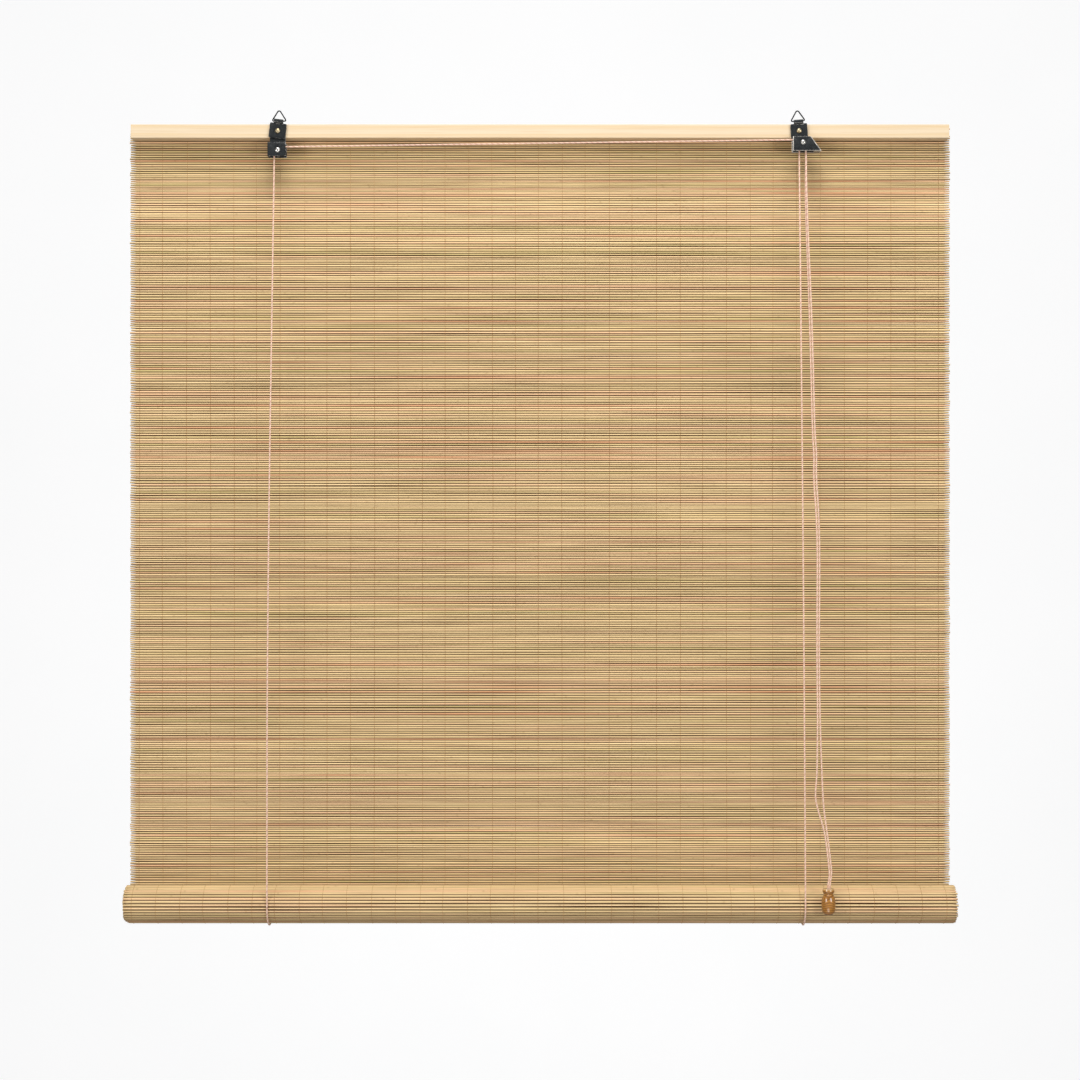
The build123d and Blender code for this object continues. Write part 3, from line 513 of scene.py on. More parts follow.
# %% Finish: turned and varnished wood
turned_wood, tree, shader = new_finish("varnished_wood", Roughness=0.3, Coat_Weight=1.0, Coat_Roughness=0.06)
ring, fibre = add_grain(tree, Rings=150.0, Bend=3.0, Pores=0.7, Heart_Y=-0.034, Heart_Z=-0.85)
pull_colour = blend_colours(tree, stretch(tree, 0.2, 1.0, ring), paint(192, 132, 54), paint(120, 74, 22))
pull_colour = blend_colours(tree, stretch(tree, 0.4, 1.0, fibre, 0.0, 0.55), pull_colour, paint(98, 56, 16))
pull_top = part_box("pull_knob")[1].z
height = split_place(tree, object_place(tree))[2]
# painted highlight: the flat top is paler, as if lit from above
painted_top_highlight = stretch(tree, pull_top - 0.0011, pull_top - 0.0003, height, 0.0, 0.75)
pull_colour = blend_colours(tree, painted_top_highlight, pull_colour, paint(232, 196, 134))
connect(tree, shader, pull_colour, stretch(tree, 0.0, 1.0, fibre, 0.28, 0.42), fibre, 0.08, WOOD_RELIEF)

# %% [markdown]
# ### Warp yarn
# The warps are thin waxed yarn, a little browner than the cane. They are so fine that a mottle is all the
# surface they need.

# %% Finish: warp yarn
yarn, tree, shader = new_finish("warp_yarn", Roughness=0.8, Specular_IOR_Level=0.2)
mottle, speckle = add_mottle(tree, 700.0)
yarn_colour = blend_colours(tree, mottle, paint(198, 156, 104), paint(150, 106, 62))
connect(tree, shader, yarn_colour, relief=speckle, strength=0.3, depth=FINE_RELIEF)

# %% [markdown]
# ### Cord
# Pinkish-beige twisted cord: one ply is a little browner than the other two, the grooves between plies carry
# painted shade, and short fibres break up the surface.

# %% Finish: twisted cord
cord_finish, tree, shader = new_finish("twisted_cord", Roughness=0.75, Specular_IOR_Level=0.25, Sheen_Weight=0.2)
ply, crease_shade = read_value(tree, "ply"), read_value(tree, "crease_shade")
mottle, speckle = add_mottle(tree, 900.0)
cord_colour = blend_colours(tree, stretch(tree, 0.45, 0.8, ply), paint(242, 208, 186), paint(224, 176, 152))
# painted shade in the creases between the plies
cord_colour = blend_colours(tree, stretch(tree, 0.5, 1.0, crease_shade, 0.0, 0.5), cord_colour, paint(116, 68, 50))
cord_colour = blend_colours(tree, multiply(tree, speckle, 0.25), cord_colour, paint(246, 220, 202))
connect(tree, shader, cord_colour, relief=speckle, strength=0.3, depth=FINE_RELIEF)

# %% [markdown]
# ### Black coated steel
# The plates and rings are black coated steel, rubbed bright along their edges, and that bright colour is also a
# painted highlight on edges that catch the light. The lock's front plate gets a painted highlight in strips along
# its left, slanted right and bottom edges, where its folds catch the light, wider than a bevel can carry, so a
# mask of its own adds them.


# %% Finish: black coated steel
def black_steel(name, wear_and_highlight_amount, rim_highlight=None):
    """Black coating, near-white on the faces that carry the edge value, partly wear and partly painted highlight,
    and, if given, painted with a highlight on the rim mask.
    """
    material, tree, shader = new_finish(name, Roughness=0.42, Specular_IOR_Level=0.22)
    mottle, speckle = add_mottle(tree, 520.0)
    colour = blend_colours(tree, mottle, paint(6, 6, 8), paint(20, 24, 24))
    colour = blend_colours(tree, multiply(tree, speckle, 0.45), colour, paint(72, 76, 78))
    bare_and_highlight = add_node(tree, "Group", {"node_tree": edge_wear_and_highlight_group}, Amount=wear_and_highlight_amount).outputs[0]
    # painted highlight strips along the lock's folded edges
    if rim_highlight:
        highlight_patches = multiply(tree, rim_highlight(tree), stretch(tree, 0.0, 0.5, speckle))
        bare_and_highlight = calculate(tree, "MAXIMUM", bare_and_highlight, highlight_patches)
    # near-white: bare metal where worn, and painted highlight on the edges
    colour = blend_colours(tree, bare_and_highlight, colour, paint(236, 230, 220))
    tree.links.new(multiply(tree, bare_and_highlight, 0.3), shader.inputs["Metallic"])
    connect(tree, shader, colour, stretch(tree, 0.0, 1.0, mottle, 0.34, 0.52), mottle, 0.25, FINE_RELIEF)
    return material


LOCK_CORNER = (294.2 * MM, -28.5 * MM)  # the front plate's top right corner, x and z


def lock_rim_highlights(tree):
    """A painted highlight mask: one in a narrow strip along the lock's left, slanted right and bottom edges, where
    the folds catch the light.
    """
    low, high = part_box("lock_housing")
    top_right, top = LOCK_CORNER
    slope = np.array([top - low.z, high.x - top_right])
    slope /= np.linalg.norm(slope)
    x, _, z = split_place(tree, object_place(tree))
    sideways = multiply(tree, calculate(tree, "SUBTRACT", x, top_right), slope[0])
    upwards = multiply(tree, calculate(tree, "SUBTRACT", z, top), slope[1])
    from_slope = calculate(tree, "ADD", sideways, upwards)
    left = stretch(tree, low.x + 0.9 * MM, low.x + 0.6 * MM, x)
    right = stretch(tree, -1.2 * MM, -0.8 * MM, from_slope)
    bottom = stretch(tree, low.z + 0.7 * MM, low.z + 0.4 * MM, z, 0.0, 0.5)
    return calculate(tree, "MAXIMUM", bottom, calculate(tree, "MAXIMUM", left, right))


black_plate = black_steel("black_plate_steel", 0.35)
# the lock's finish carries the painted highlight strips along its front plate's edges
black_lock = black_steel("black_lock_steel", 0.75, lock_rim_highlights)
black_wire = black_steel("black_wire_steel", 0.1)

# %% [markdown]
# ### Bare metals and plastic
# The rivets are bright nickel, the screws and the lock's roller dull brass, the staples galvanised wire, and
# the pulleys moulded plastic. The mottle keeps each from looking like one flat colour.


# %% Finish: bare metals and plastic
def mottled_finish(name, pale, dark, rough_low, rough_high, size, metallic):
    """A metal or plastic whose colour and gloss vary finely between two values."""
    material, tree, shader = new_finish(name, Metallic=metallic)
    mottle, speckle = add_mottle(tree, size)
    colour = blend_colours(tree, mottle, paint(*pale), paint(*dark))
    connect(tree, shader, colour, stretch(tree, 0.0, 1.0, mottle, rough_low, rough_high), speckle, 0.1, FINE_RELIEF)
    return material


nickel = mottled_finish("bright_nickel", (240, 238, 232), (214, 210, 202), 0.2, 0.34, 500.0, 1.0)
brass = mottled_finish("dull_brass", (232, 218, 184), (190, 166, 118), 0.3, 0.48, 600.0, 1.0)
galvanised = mottled_finish("galvanised_wire", (190, 192, 194), (150, 152, 156), 0.32, 0.5, 500.0, 1.0)
plastic = mottled_finish("pulley_plastic", (226, 222, 210), (204, 199, 184), 0.42, 0.56, 300.0, 0.0)
print("finishes:", len(bpy.data.materials))

# %% [markdown]
# ## The woven mat
# A splint is a thin strip of cane, flat on its two faces and rounded at its flanks. One blank is modelled: a
# cylinder, cut across at intervals so that it can bend, with its section squared off. Every splint of the mat
# is a copy of it with its own width, thickness, waviness and length.

# %% Model one splint blank
SPLINT_SIDES = 12
SPLINT_CUTS = 13
LAST_CUT = 0.88  # of the half length
END_CUT = 0.985  # beyond this the splint tapers to its end
FLANK_SQUARENESS = 0.8
# painted shade in the grooves, from the middle of the face down to the lower flank and up to the upper one; the
# lower flank, away from the light above, gets most
LOWER_GROOVE_SHADE = ((0, 0.05), (0.57, 0.95), (0.89, 1.0), (1, 1.0))
UPPER_GROOVE_SHADE = ((0, 0.0), (0.57, 0.0), (0.89, 0.8), (1, 1.0))
deselect()
bpy.ops.mesh.primitive_cylinder_add(vertices=SPLINT_SIDES, radius=1, depth=2, rotation=(0, pi / 2, 0))
blank = bpy.context.object
bpy.ops.object.transform_apply(location=True, rotation=True, scale=True)
set_mode(mode="EDIT")
for cut in [-END_CUT, *np.linspace(-LAST_CUT, LAST_CUT, SPLINT_CUTS), END_CUT]:
    bpy.ops.mesh.select_all(action="SELECT")
    bpy.ops.mesh.bisect(plane_co=(cut, 0, 0), plane_no=(1, 0, 0))
set_mode(mode="OBJECT")
blank_points = np.array([v.co for v in blank.data.vertices])
blank_faces = [np.array(p.vertices) for p in blank.data.polygons]
bpy.data.objects.remove(blank)
section = blank_points[:, 1:]
section = np.sign(section) * np.abs(section).clip(1e-6) ** FLANK_SQUARENESS
lower = np.interp(section[:, 1], *zip(*LOWER_GROOVE_SHADE))
upper = np.interp(-section[:, 1], *zip(*UPPER_GROOVE_SHADE))
blank_groove_shade = np.maximum(lower, upper)
print("splint blank:", len(blank_points), "points", len(blank_faces), "faces")

# %% [markdown]
# The copies are laid by numbers, because several hundred duplicate operators would take minutes. Each is
# placed by its middle, by the direction its flat side faces, and by its two ends. The painted groove shade is
# light where the grooves lie open to the light from above, and deepest underneath.

# %% Lay copies of the splint
SPLINT_THICKNESS = 1.32 * MM
SPLINT_LAP = 0.07 * MM  # how far neighbouring flanks press into each other, so that no light comes through
WIDTH_WAVES, THICKNESS_WAVES = 0.028, 0.06  # how far a splint's width and thickness vary along it
THINNEST, THICKEST = 0.86, 1.06
END_TAPER = 0.36
# painted groove shade: lighter where a splint faces up to the light from above, heavier where it faces down, and
# varied at random from splint to splint
PALER_ABOVE, DARKER_BELOW = 0.8, 0.6
GROOVE_DARKNESS = (0.95, 2.3)
TONE_SPREAD, HUE_SPREAD = 0.26, 0.22


def waves(count, along, reach):
    """Smooth random wander for count splints along their length, about reach metres either way."""
    wander = np.zeros((count, len(along)))
    for waves_per_length in (0.7, 1.6, 3.3):
        phase = dice.uniform(0, tau, (count, 1))
        size = dice.normal(0, 1, (count, 1)) / (1 + waves_per_length)
        wander += size * np.sin(pi * waves_per_length * along[None] + phase)
    return reach * wander


def lay_splints(name, middles, facings, widths, left_ends, right_ends, wander):
    """Copies of the blank at middles (y, z), each with its flat faces towards facings (unit y, z)."""
    darkness = 1 - PALER_ABOVE * facings[:, 1].clip(0, 1) + DARKER_BELOW * (-facings[:, 1]).clip(0, 1)
    darkness *= dice.uniform(*GROOVE_DARKNESS, len(middles))
    count = len(middles)
    t = blank_points[:, 0]
    middle_x = (left_ends + right_ends) / 2
    half_length = (right_ends - left_ends) / 2
    x = middle_x[:, None] + half_length[:, None] * t[None]
    taper = 1 - END_TAPER * np.clip((np.abs(t) - END_CUT) / (1 - END_CUT), 0, 1)
    width = (widths[:, None] / 2) * (1 + waves(count, t, WIDTH_WAVES)) * taper
    thick = SPLINT_THICKNESS / 2 * (1 + waves(count, t, THICKNESS_WAVES))
    thick = thick * dice.uniform(THINNEST, THICKEST, (count, 1))
    across = section[None, :, 1] * width + waves(count, t, wander)
    proud = section[None, :, 0] * thick + waves(count, t, wander * 0.8)
    flat = np.stack([-facings[:, 1], facings[:, 0]], axis=1)[:, None]  # from flank to flank
    yz = middles[:, None] + proud[..., None] * facings[:, None] + across[..., None] * flat
    points = np.concatenate([x[..., None], yz], axis=2)
    faces = [(face + copy * len(t)).tolist() for copy in range(count) for face in blank_faces]
    piece = mesh_piece(name, points.reshape(-1, 3), faces)
    draws = np.ones((count, len(t), 4), np.float32)
    draws[:, :, 0] = np.clip(0.5 + TONE_SPREAD * dice.normal(0, 1, (count, 1)), 0, 1)
    draws[:, :, 1] = np.clip(0.5 + HUE_SPREAD * dice.normal(0, 1, (count, 1)), 0, 1)
    draws[:, :, 2] = dice.uniform(0, 1, (count, 1))
    # painted shade for the grooves, stored on every point of every splint
    groove_shades = np.outer(darkness, blank_groove_shade)
    piece.data.attributes.new("splint", "FLOAT_COLOR", "POINT").data.foreach_set("color", draws.ravel())
    piece.data.attributes.new("groove_shade", "FLOAT", "POINT").data.foreach_set("value", groove_shades.ravel())
    return piece


print("splint:", SPLINT_THICKNESS / MM, "mm thick")

# %% [markdown]
# The hanging part holds about 340 splints between the top of the rail and the roll. Their widths vary, and
# each laps the next by a hair, so the mat shows dark grooves rather than open slits.

# %% Hanging splints
SPLINT_COUNT = 340
WIDTH_SPREAD = 0.12
END_INSET = 0.4 * MM
END_SPREAD, END_LIMIT = 0.35 * MM, 0.9 * MM
HANGING_WANDER = 0.04 * MM
SPLINT_SMOOTHING = 55
mat_low, mat_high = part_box("hanging_mat")
mat_middle_y = (mat_low.y + mat_high.y) / 2
mat_drop = mat_high.z - mat_low.z
shares = 1 + WIDTH_SPREAD * dice.normal(0, 1, SPLINT_COUNT).clip(-2, 2)
shares *= mat_drop / shares.sum()
splint_z = mat_high.z - np.cumsum(shares) + shares / 2
middles = np.stack([np.full(SPLINT_COUNT, mat_middle_y), splint_z], axis=1)
facings = np.tile([-1.0, 0.0], (SPLINT_COUNT, 1))
left_ends = mat_low.x + END_INSET + dice.normal(0, END_SPREAD, SPLINT_COUNT).clip(-END_LIMIT, END_LIMIT)
right_ends = mat_high.x - END_INSET + dice.normal(0, END_SPREAD, SPLINT_COUNT).clip(-END_LIMIT, END_LIMIT)
splints_hanging = lay_splints(
    "splints_hanging", middles, facings, shares + SPLINT_LAP, left_ends, right_ends, HANGING_WANDER
)
finish_piece(
    splints_hanging, "splints_hanging", "headrail", bamboo, ["hanging_mat"], SPLINT_SMOOTHING
)

# %% [markdown]
# ## The roll
# Below the last hanging splint the same mat winds round a wooden rod, eleven half turns of it. It comes down
# at the back, passes under the roll and climbs the front. The half turns are centred half a pitch apart, as in
# the CAD, and the splints are set along that spiral.

# %% The wound mat's spiral
HALF_TURNS = 11
TURN_GAP = 0.3 * MM
rod_low, rod_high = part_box("bottom_rod")
mat_thickness = mat_high.y - mat_low.y
turn_pitch = mat_thickness + TURN_GAP
roll_middle_y = (rod_low.y + rod_high.y) / 2
roll_middle_z = (rod_low.z + rod_high.z) / 2
roll_radius = mat_high.y - roll_middle_y


def turn_radius(half_turn):
    """The radius of a half turn, to the middle of the mat."""
    return roll_radius - mat_thickness / 2 - half_turn * turn_pitch / 2


def spiral_place(distance):
    """The place (y, z) and the outward direction (y, z) at a distance along the wound mat's middle."""
    for half_turn in range(HALF_TURNS):
        radius = turn_radius(half_turn)
        if distance <= pi * radius or half_turn == HALF_TURNS - 1:
            break
        distance -= pi * radius
    angle = -pi * half_turn - min(distance / radius, pi)
    centre_y = roll_middle_y - (half_turn % 2) * turn_pitch / 2
    outward = np.array([cos(angle), sin(angle)])
    return np.array([centre_y, roll_middle_z]) + radius * outward, outward


spiral_length = sum(pi * turn_radius(half_turn) for half_turn in range(HALF_TURNS))
print(f"roll: radius {roll_radius / MM:.1f} mm, {spiral_length:.3f} m of mat")

# %% [markdown]
# Bent round the roll the splints spread, so they stand further apart there. Near the bottom their left ends
# sit a little further in, where the mat was wound slightly askew, and each turn drifts sideways a little.

# %% Rolled splints
ROLL_PITCH = 3.3 * MM
ASKEW_FROM, ASKEW_TO, ASKEW_EASE = 0.9, 2.2, 0.5  # radians round the first turn
ASKEW_LEFT, ASKEW_RIGHT = 4.6 * MM, 1.6 * MM
ROLL_INSET = 0.5 * MM
ROLL_END_SPREAD = 0.3 * MM
TURN_DRIFT = 0.5 * MM
ROLLED_WANDER = 0.03 * MM
roll_low, roll_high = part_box("rolled_mat")
roll_count = int(spiral_length / ROLL_PITCH)
roll_shares = 1 + WIDTH_SPREAD * dice.normal(0, 1, roll_count).clip(-2, 2)
roll_shares *= spiral_length / roll_shares.sum()
distances = np.cumsum(roll_shares) - roll_shares / 2
spots = [spiral_place(d) for d in distances]
roll_middles = np.array([spot[0] for spot in spots])
roll_facings = np.array([spot[1] for spot in spots])
round_roll = distances / roll_radius
askew = np.clip((round_roll - ASKEW_FROM) / ASKEW_EASE, 0, 1)
askew *= np.clip((ASKEW_TO - round_roll) / ASKEW_EASE, 0, 1)
sideways = TURN_DRIFT * np.sin(round_roll / 2)
roll_left = roll_low.x + ROLL_INSET + ASKEW_LEFT * askew + sideways + dice.normal(0, ROLL_END_SPREAD, roll_count)
roll_right = roll_high.x - ROLL_INSET - ASKEW_RIGHT * askew + sideways + dice.normal(0, ROLL_END_SPREAD, roll_count)
roll_left = roll_left.clip(roll_low.x - ROLL_INSET)
roll_right = roll_right.clip(None, roll_high.x + ROLL_INSET)
splints_rolled = lay_splints(
    "splints_rolled", roll_middles, roll_facings, roll_shares + SPLINT_LAP, roll_left, roll_right, ROLLED_WANDER
)
finish_piece(splints_rolled, "splints_rolled", "roll", bamboo, ["rolled_mat"], SPLINT_SMOOTHING)

# %% [markdown]
# ## Warp threads
# Every 26 mm across the mat a pair of thin threads runs from top to bottom. They weave in opposite steps, one
# in front of a splint while the other is behind it. Triangular tubes are enough for yarn a third of a
# millimetre thick, and they keep the many thousand crossings light.

# %% Weave the warps
WARP_COUNT = 35
WARP_FIRST_X, WARP_LAST_X = -440.0 * MM, 437.0 * MM
WARP_SWAY = 0.5 * MM
YARN_RADIUS = 0.17 * MM
YARN_SIDES = 3
BITE = 0.3  # how far each float reaches to either side of its splint's middle, of its width
warp_x = np.linspace(WARP_FIRST_X, WARP_LAST_X, WARP_COUNT) + dice.normal(0, WARP_SWAY, WARP_COUNT)


def weave(name, middles, facings, widths, crossings, body):
    """Both threads of each warp in crossings (x places), over and under the splints at middles."""
    flat = np.stack([-facings[:, 1], facings[:, 0]], axis=1)
    run = np.diff(middles, axis=0).mean(axis=0)
    towards = np.sign((flat[0] * run).sum()) or 1.0
    stand_off = SPLINT_THICKNESS / 2 + YARN_RADIUS
    count = len(middles)
    corner = np.linspace(0, tau, YARN_SIDES, endpoint=False)
    points, faces, start = [], [], 0
    for place_x in crossings:
        sway = np.interp(np.arange(count), [0, count / 2, count], dice.normal(0, WARP_SWAY, 3))
        for side in (1, -1):
            over = side * np.where(np.arange(count) % 2, -1, 1)
            legs = []
            for reach in (-BITE, BITE):
                lean = over * (0.18 + 0.25 * reach) * MM
                yz = middles + (over * stand_off)[:, None] * facings + (towards * reach * widths)[:, None] * flat
                legs.append(np.concatenate([(place_x + sway + lean)[:, None], yz], axis=1))
            line = np.stack(legs, axis=1).reshape(-1, 3)
            across, up = cross_directions(line)
            ring = np.cos(corner)[None, :, None] * across[:, None] + np.sin(corner)[None, :, None] * up[:, None]
            rings = line[:, None] + YARN_RADIUS * ring
            points.append(rings.reshape(-1, 3))
            faces += skin(rings, start)
            start += rings.shape[0] * rings.shape[1]
    piece = mesh_piece(name, np.concatenate(points), faces)
    return finish_piece(piece, name, body, yarn)


half = WARP_COUNT // 2
warps_left = weave("warps_left", middles, facings, shares, warp_x[:half], "headrail")
warps_right = weave("warps_right", middles, facings, shares, warp_x[half:], "headrail")
outer = distances < tau * roll_radius * 1.08  # only the outer turn of the roll shows its threads
warps_rolled = weave("warps_rolled", roll_middles[outer], roll_facings[outer], roll_shares[outer], warp_x, "roll")

# %% [markdown]
# Raising the blind takes the hanging part into the roll, and a rigid spiral can't grow. Here the hanging splints
# and threads only get meshes of their own.


def draw_up(piece):
    """Give a hanging piece a mesh of its own."""
    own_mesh(piece)


for piece in (splints_hanging, warps_left, warps_right):
    draw_up(piece)

# %% [markdown]
# ## The held cords
# Between the pulleys, the roll and the rail the cord is tight, so each stretch follows the CAD model's line.
# The control points sit where the tangents meet, which brings the smooth curve onto the pulleys.

# %% Cord over the pulleys
CORD_SMOOTHING = 60
cross_cord_points = [
    (-288.8, -2.82, -51.0),
    (-288.8, -2.82, -44.9),
    (-288.8, -2.82, -41.5),
    (-286.3, -2.83, -39.0),
    (-282.9, -2.84, -38.9),
    (283.9, -3.92, -31.3),
    (286.9, -3.92, -31.25),
    (288.95, -3.92, -33.3),
    (288.95, -3.92, -36.3),
    (288.95, -3.92, -45.2),
]
right_turn_points = [
    (281.85, -1.72, -45.2),
    (281.85, -1.72, -36.3),
    (281.85, -1.72, -33.3),
    (283.95, -1.72, -31.25),
    (286.85, -1.72, -31.25),
    (288.95, -1.72, -33.3),
    (288.95, -1.72, -36.3),
    (288.95, -1.72, -45.2),
]


def finish_cord(cord, name, body, nodes=()):
    """A laid cord as a finished piece."""
    return finish_piece(cord, name, body, cord_finish, nodes, CORD_SMOOTHING)


def held_cord(name, points, body, node):
    """A tight stretch of cord along its control points, in place of one CAD cord."""
    return finish_cord(twisted_cord(name, smooth_route(points, CORD_STEP)), name, body, [node])


held_cord("cord_across", cross_cord_points, "headrail", "cross_cord")
held_cord("cord_over_lock", right_turn_points, "headrail", "right_cord_turn")

# %% [markdown]
# A plain overhand knot has the line of a trefoil. The cords end in one behind the rail and in another inside
# the pull, so the line is drawn once and laid in cord at each place.

# %% Tie a knot
KNOT_POINTS = 60


def tied_knot(name, centre, size, height, body, nodes=()):
    """An overhand knot of the blind's own cord, by its half width and half height in metres."""
    t = np.linspace(0, tau, KNOT_POINTS, endpoint=False)
    bow = np.stack([np.sin(t) + 2 * np.sin(2 * t), np.cos(t) - 2 * np.cos(2 * t)], axis=1) / 3
    line = np.array(centre) + np.concatenate([size * bow, -height * np.sin(3 * t)[:, None]], axis=1)
    line = np.concatenate([line, line[:2]])
    return finish_cord(twisted_cord(name, line), name, body, nodes)


print("knot line:", KNOT_POINTS, "points")

# %% [markdown]
# In front of the mat the cord slants from the pulley down to the face of the roll, where the sling takes it
# underneath. Behind the mat it goes straight up to a knot at the rail, held by a staple. As the blind is raised the
# front and back stretches shorten and the slings go up with the roll; here the front and back stretches only get
# meshes of their own, and the slings ride on the lift.

# %% Cords in front of, under and behind the mat
front_points = {
    "left": [
        (-288.8, -2.82, -51.05), (-288.9, -3.22, -63), (-294.4, -16.4, -545),
        (-293.6, -24.52, -842), (-293.6, -24.52, -860.9),
    ],
    "right": [
        (281.85, -1.72, -45.25), (281.95, -2.12, -57.2), (284.6, -14.6, -500),
        (285.4, -24.52, -842), (285.4, -24.52, -860.9),
    ],
}
sling_points = [(-22.7, 0), (-22.7, -7.4), (-14.0, -19.3), (0, -23.9), (14.0, -19.3), (22.7, -7.4), (22.7, 0)]
CORD_FOOT = -860.9  # the height, in millimetres, at which the slings take over
BACK_LEVELS = (CORD_FOOT, -600.0, -200.0)
BACK_STAND_OFF = 1.2  # from the mat's back to the cord's middle
KNOT_DROP = 2.0  # from the top of the CAD cord to the knot
for side, points in front_points.items():
    cord_x = points[-1][0]
    front = held_cord(f"{side}_front_cord", points, "headrail", f"{side}_lift_cord_front")
    draw_up(front)

    loop = [(cord_x, roll_middle_y / MM + y, roll_middle_z / MM + z) for y, z in sling_points]
    held_cord(f"{side}_sling", loop, "lift", f"{side}_cord_sling")

    back_y = mat_high.y / MM + BACK_STAND_OFF
    top_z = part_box(f"{side}_lift_cord_back")[1].z / MM - KNOT_DROP
    behind = [(cord_x, back_y, z) for z in (*BACK_LEVELS, top_z)]
    back = held_cord(f"{side}_back_cord", behind, "headrail", f"{side}_lift_cord_back")
    draw_up(back)
    knot_place = (cord_x * MM, back_y * MM + 0.9 * MM, top_z * MM + 0.6 * MM)
    tied_knot(f"{side}_back_knot", knot_place, 1.5 * MM, 0.8 * MM, "headrail")

# %% [markdown]
# ## The pull cord
# Both cords leave the lock and hang free in front of the mat, mostly pressed together. Below the middle they
# part round a small eye, meet again, swing to the right and enter the wooden pull, where a knot holds them.
# Lowering the pull draws cord out of the lock. Here the strands ride on no body.

# %% The two hanging strands
left_strand_points = [
    (288.95, -1.72, -45.5), (288.8, -2.3, -62), (288.3, -3.6, -94), (289.6, -5.7, -146),
    (291.5, -7.6, -200), (292.7, -9.4, -250), (293.9, -11.1, -304), (294.6, -13, -352),
    (296.4, -13.9, -377), (295.4, -14.7, -399), (298.5, -16.3, -440), (299.3, -18.1, -488),
    (298.4, -20.2, -544), (298.1, -22.1, -600), (298.5, -24.2, -652), (298, -25.5, -690),
    (297.4, -26.8, -720), (294.9, -27.6, -742), (299.4, -28.2, -760), (304.9, -28.8, -777),
    (307.9, -29.6, -799), (309.5, -30.1, -815), (310.6, -30.5, -826), (308.1, -31.12, -836),
    (308.1, -31.12, -856.3),
]
right_strand_points = [
    (288.95, -3.92, -45.5), (289.1, -4.7, -61), (289.4, -6.1, -92), (291, -8.3, -144),
    (293.3, -9.9, -199), (294.9, -11.3, -251), (296, -12.9, -302), (296.9, -14.4, -350),
    (298.9, -15.2, -375), (297.9, -16.1, -397), (300.9, -17.3, -438), (301.6, -18.9, -488),
    (300.8, -20.8, -546), (300.5, -22.5, -602), (301, -24.2, -654), (301.9, -25.8, -694),
    (303.1, -26.9, -728), (304.3, -27.6, -753), (307.3, -28.5, -775), (310.2, -29.6, -798),
    (311.8, -30.3, -814), (312.7, -30.7, -825), (310.1, -31.12, -836), (310.1, -31.12, -856.3),
]
strand_lines, strands = {}, {}
for side, points in (("left", left_strand_points), ("right", right_strand_points)):
    name = f"{side}_pull_strand"
    strand_lines[side] = smooth_route(points, CORD_STEP)
    strands[side] = finish_cord(
        twisted_cord(name, strand_lines[side]), name, None, [f"pull_cord_{side}_strand"]
    )
    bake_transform(strands[side])

# %% [markdown]
# ## Hardware
# The CAD solids have the right shapes, but their edges are sharp as a knife and their meshes are loose
# triangles. A copy of each is merged. Plates, cases and screws also get a bevel, whose faces are marked with
# the value "edge" for the wear and the painted highlight. Wire, rivets, pulleys, roller and pull are round already.

# %% Copy a CAD piece and round its edges
MERGE_WITHIN = 2e-6
FLAT_WITHIN = 0.8  # degrees
BEVEL_ABOVE = 40  # degrees
HARDWARE_SMOOTHING = 35


def dressed_copy(node, name, material, body, bevel):
    """A merged copy of a CAD node, with its edges rounded by bevel millimetres if that is given."""
    piece = bpy.data.objects.new(name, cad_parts[node].data.copy())
    scene.collection.objects.link(piece)
    take_up(piece)
    set_mode(mode="EDIT")
    bpy.ops.mesh.select_all(action="SELECT")
    bpy.ops.mesh.remove_doubles(threshold=MERGE_WITHIN)
    if bevel:
        bpy.ops.mesh.dissolve_limited(angle_limit=radians(FLAT_WITHIN))
    set_mode(mode="OBJECT")
    if bevel:
        while len(piece.data.materials) < 2:
            piece.data.materials.append(material)
        for face in piece.data.polygons:
            face.material_index = 0
        rounding = piece.modifiers.new("rounding", "BEVEL")
        rounding.width = bevel * MM
        rounding.segments = 2
        rounding.limit_method = "ANGLE"
        rounding.angle_limit = radians(BEVEL_ABOVE)
        rounding.material = 1
        bpy.ops.object.modifier_apply(modifier=rounding.name)
        marks = np.array([face.material_index for face in piece.data.polygons], np.float32)
        for face in piece.data.polygons:
            face.material_index = 0
        piece.data.attributes.new("edge", "FLOAT", "FACE").data.foreach_set("value", marks)
    return finish_piece(piece, name, body, material, [node], HARDWARE_SMOOTHING)


hardware = [
    ("left_hanger_strap", "left_strap", black_plate, "black_plate", "headrail", 0.12),
    ("right_hanger_strap", "right_strap", black_plate, "black_plate", "headrail", 0.12),
    ("left_pulley_housing", "left_pulley_case", black_plate, "black_plate", "headrail", 0.16),
    ("lock_housing", "lock_case", black_lock, "black_plate", "headrail", 0.2),
    ("left_hanging_ring", "left_ring_wire", black_wire, "black_wire", "left_ring", None),
    ("right_hanging_ring", "right_ring_wire", black_wire, "black_wire", "right_ring", None),
    ("left_rail_screw", "left_screw", brass, "brass", "headrail", 0.06),
    ("right_rail_screw", "right_screw", brass, "brass", "headrail", 0.06),
    ("left_pulley_rivet", "left_rivet", nickel, "nickel", "headrail", None),
    ("lock_rivet", "lock_rivet_pin", nickel, "nickel", "headrail", None),
    ("left_pulley", "left_wheel_turned", plastic, "pulley_plastic", "left_wheel", None),
    ("lock_pulley", "lock_wheel_turned", plastic, "pulley_plastic", "lock_wheel", None),
    ("lock_roller", "fluted_roller", brass, "brass", "roller", None),
    ("pull_knob", "turned_pull", turned_wood, "turned_wood", "pull", None),
]
for node, name, material, slot_name, body, bevel in hardware:
    dressed_copy(node, name, material, body, bevel)

# %% [markdown]
# Rail, rod and staples are plain sawn, turned and bent stock, so their CAD meshes stay and only take the
# better finish.

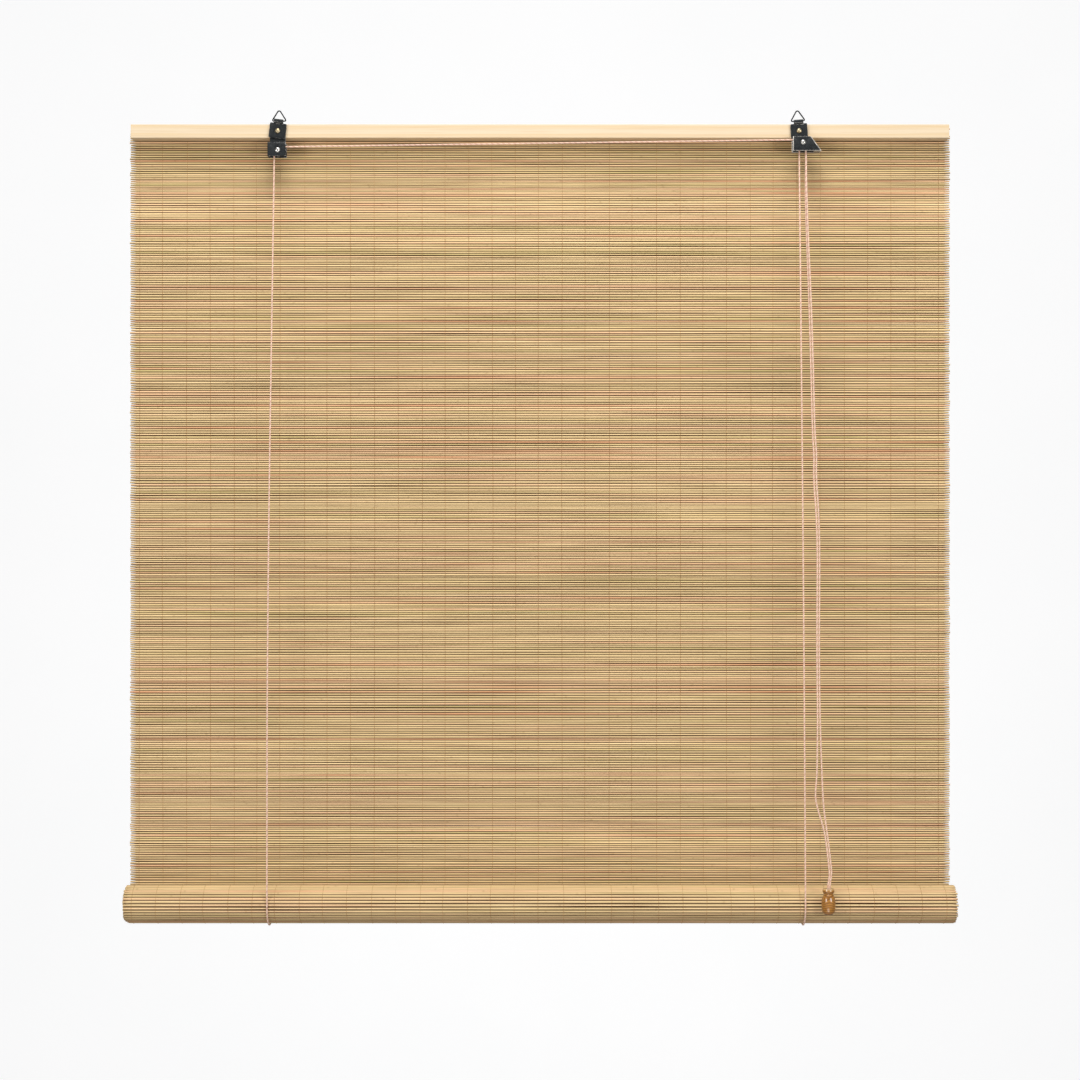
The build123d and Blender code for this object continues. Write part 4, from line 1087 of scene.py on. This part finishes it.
# %% Finishes of the CAD pieces that stay
kept = dict.fromkeys(("headrail", "bottom_rod"), pine)
kept |= dict.fromkeys(("header_staples", "rod_staples", "left_cord_staple", "right_cord_staple"), galvanised)
for node, material in kept.items():
    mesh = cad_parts[node].data
    if not mesh.materials:
        mesh.materials.append(material)
    for number in range(len(mesh.materials)):
        mesh.materials[number] = material
    print(node, "in", material.name)

# %% [markdown]
# The knot that holds both strands fills the wider bore at the pull's foot. The two free strands are limp cord, as
# long as it hangs, with the pull on its end; their names are printed.

# %% The pull's knot, and the free cords' names
knot_low, knot_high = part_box("pull_cord_knot")
knot_centre = (knot_low + knot_high) / 2
pull_knot = tied_knot("pull_knot", knot_centre, 1.6 * MM, 1.4 * MM, "pull", ["pull_cord_knot"])
print("free cords:", list(strands))

# %% [markdown]
# ## Backdrop
# A pale sweep stands behind and below the blind: a floor whose far edge is pulled up into a wall, with the
# fold rounded. It lies far down, so that the pull stays above it when the blind is raised. It glows only for
# the camera, so it looks white and still throws no light on the blind.

# %% Backdrop
FLOOR_SIZE = 12
FLOOR_PLACE = (0, 0.5, -2.6)
WALL_HEIGHT = 8
WALL_Y = 2.2
FOLD_WIDTH = 0.8
SWEEP_GLOW = 0.74
far_edge = FLOOR_SIZE / 2
deselect()
bpy.ops.mesh.primitive_plane_add(size=FLOOR_SIZE, location=FLOOR_PLACE)
sweep = bpy.context.object
set_mode(mode="EDIT")
bpy.ops.mesh.select_all(action="DESELECT")
set_mode(mode="OBJECT")
for edge in sweep.data.edges:
    edge.select = min(sweep.data.vertices[v].co.y for v in edge.vertices) > far_edge - 0.1
set_mode(mode="EDIT")
bpy.ops.mesh.extrude_region_move(TRANSFORM_OT_translate={"value": (0, 0, WALL_HEIGHT)})
set_mode(mode="OBJECT")
sweep.data.transform(sweep.matrix_world)
sweep.location = (0, 0, 0)
for vertex in sweep.data.vertices:
    if vertex.co.y > far_edge:
        vertex.co.y = WALL_Y
fold = sweep.modifiers.new("fold", "BEVEL")
fold.width = FOLD_WIDTH
fold.segments = 16
fold.limit_method = "ANGLE"
take_up(sweep)
bpy.ops.object.modifier_apply(modifier=fold.name)
bpy.ops.object.shade_smooth()
white, tree, shader = new_finish("white_sweep", Roughness=0.9, Specular_IOR_Level=0.1, Emission_Color=(1, 1, 1, 1))
mottle, speckle = add_mottle(tree, 3.0)
connect(tree, shader, blend_colours(tree, mottle, paint(176, 176, 177), paint(172, 173, 174)))
seen = add_node(tree, "LightPath").outputs["Is Camera Ray"]
tree.links.new(multiply(tree, seen, SWEEP_GLOW), shader.inputs["Emission Strength"])
sweep.name = "sweep"
sweep.data.materials.append(white)

# %% [markdown]
# ## Lights
# Two large soft lights at the front left and right make the cords' shadows fall away to each side. One above
# lights the top of each splint, a weak one below opens the underside of the roll, and one behind lights the
# back. A white surround fills in evenly, far brighter to the camera than to the blind, so it matches the sweep.

# %% Lights
LIGHTS = (  # name, place, what it points at, width in metres, power in watts
    ("left_box", (-1.7, -1.9, -0.25), (-0.2, 0, -0.5), 0.9, 24),
    ("right_box", (1.7, -1.9, -0.25), (0.2, 0, -0.5), 0.9, 24),
    ("top_box", (0, -1.0, 1.3), (0, 0, -0.4), 1.1, 34),
    ("low_box", (0, -1.5, -1.8), (0, 0, -0.86), 1.0, 9),
    ("back_box", (0, 1.5, 0.6), (0, 0, -0.4), 1.2, 14),
)
SURROUND_LIGHT, SURROUND_SEEN = 0.14, 0.85
for name, place, aim, width, power in LIGHTS:
    data = bpy.data.lights.new(name, "AREA")
    data.size = width
    data.energy = power
    lamp = bpy.data.objects.new(name, data)
    lamp.location = place
    away = lamp.location - type(lamp.location)(aim)
    lamp.rotation_euler = away.to_track_quat("Z", "Y").to_euler()
    scene.collection.objects.link(lamp)
world = bpy.data.worlds.new("surround")
world.use_nodes = True
tree = world.node_tree
surround = tree.nodes["Background"]
surround.inputs[0].default_value = (1, 1, 1, 1)
seen = add_node(tree, "LightPath").outputs["Is Camera Ray"]
tree.links.new(stretch(tree, 0.0, 1.0, seen, SURROUND_LIGHT, SURROUND_SEEN), surround.inputs[1])
scene.world = world
print("lights:", [name for name, *_ in LIGHTS])
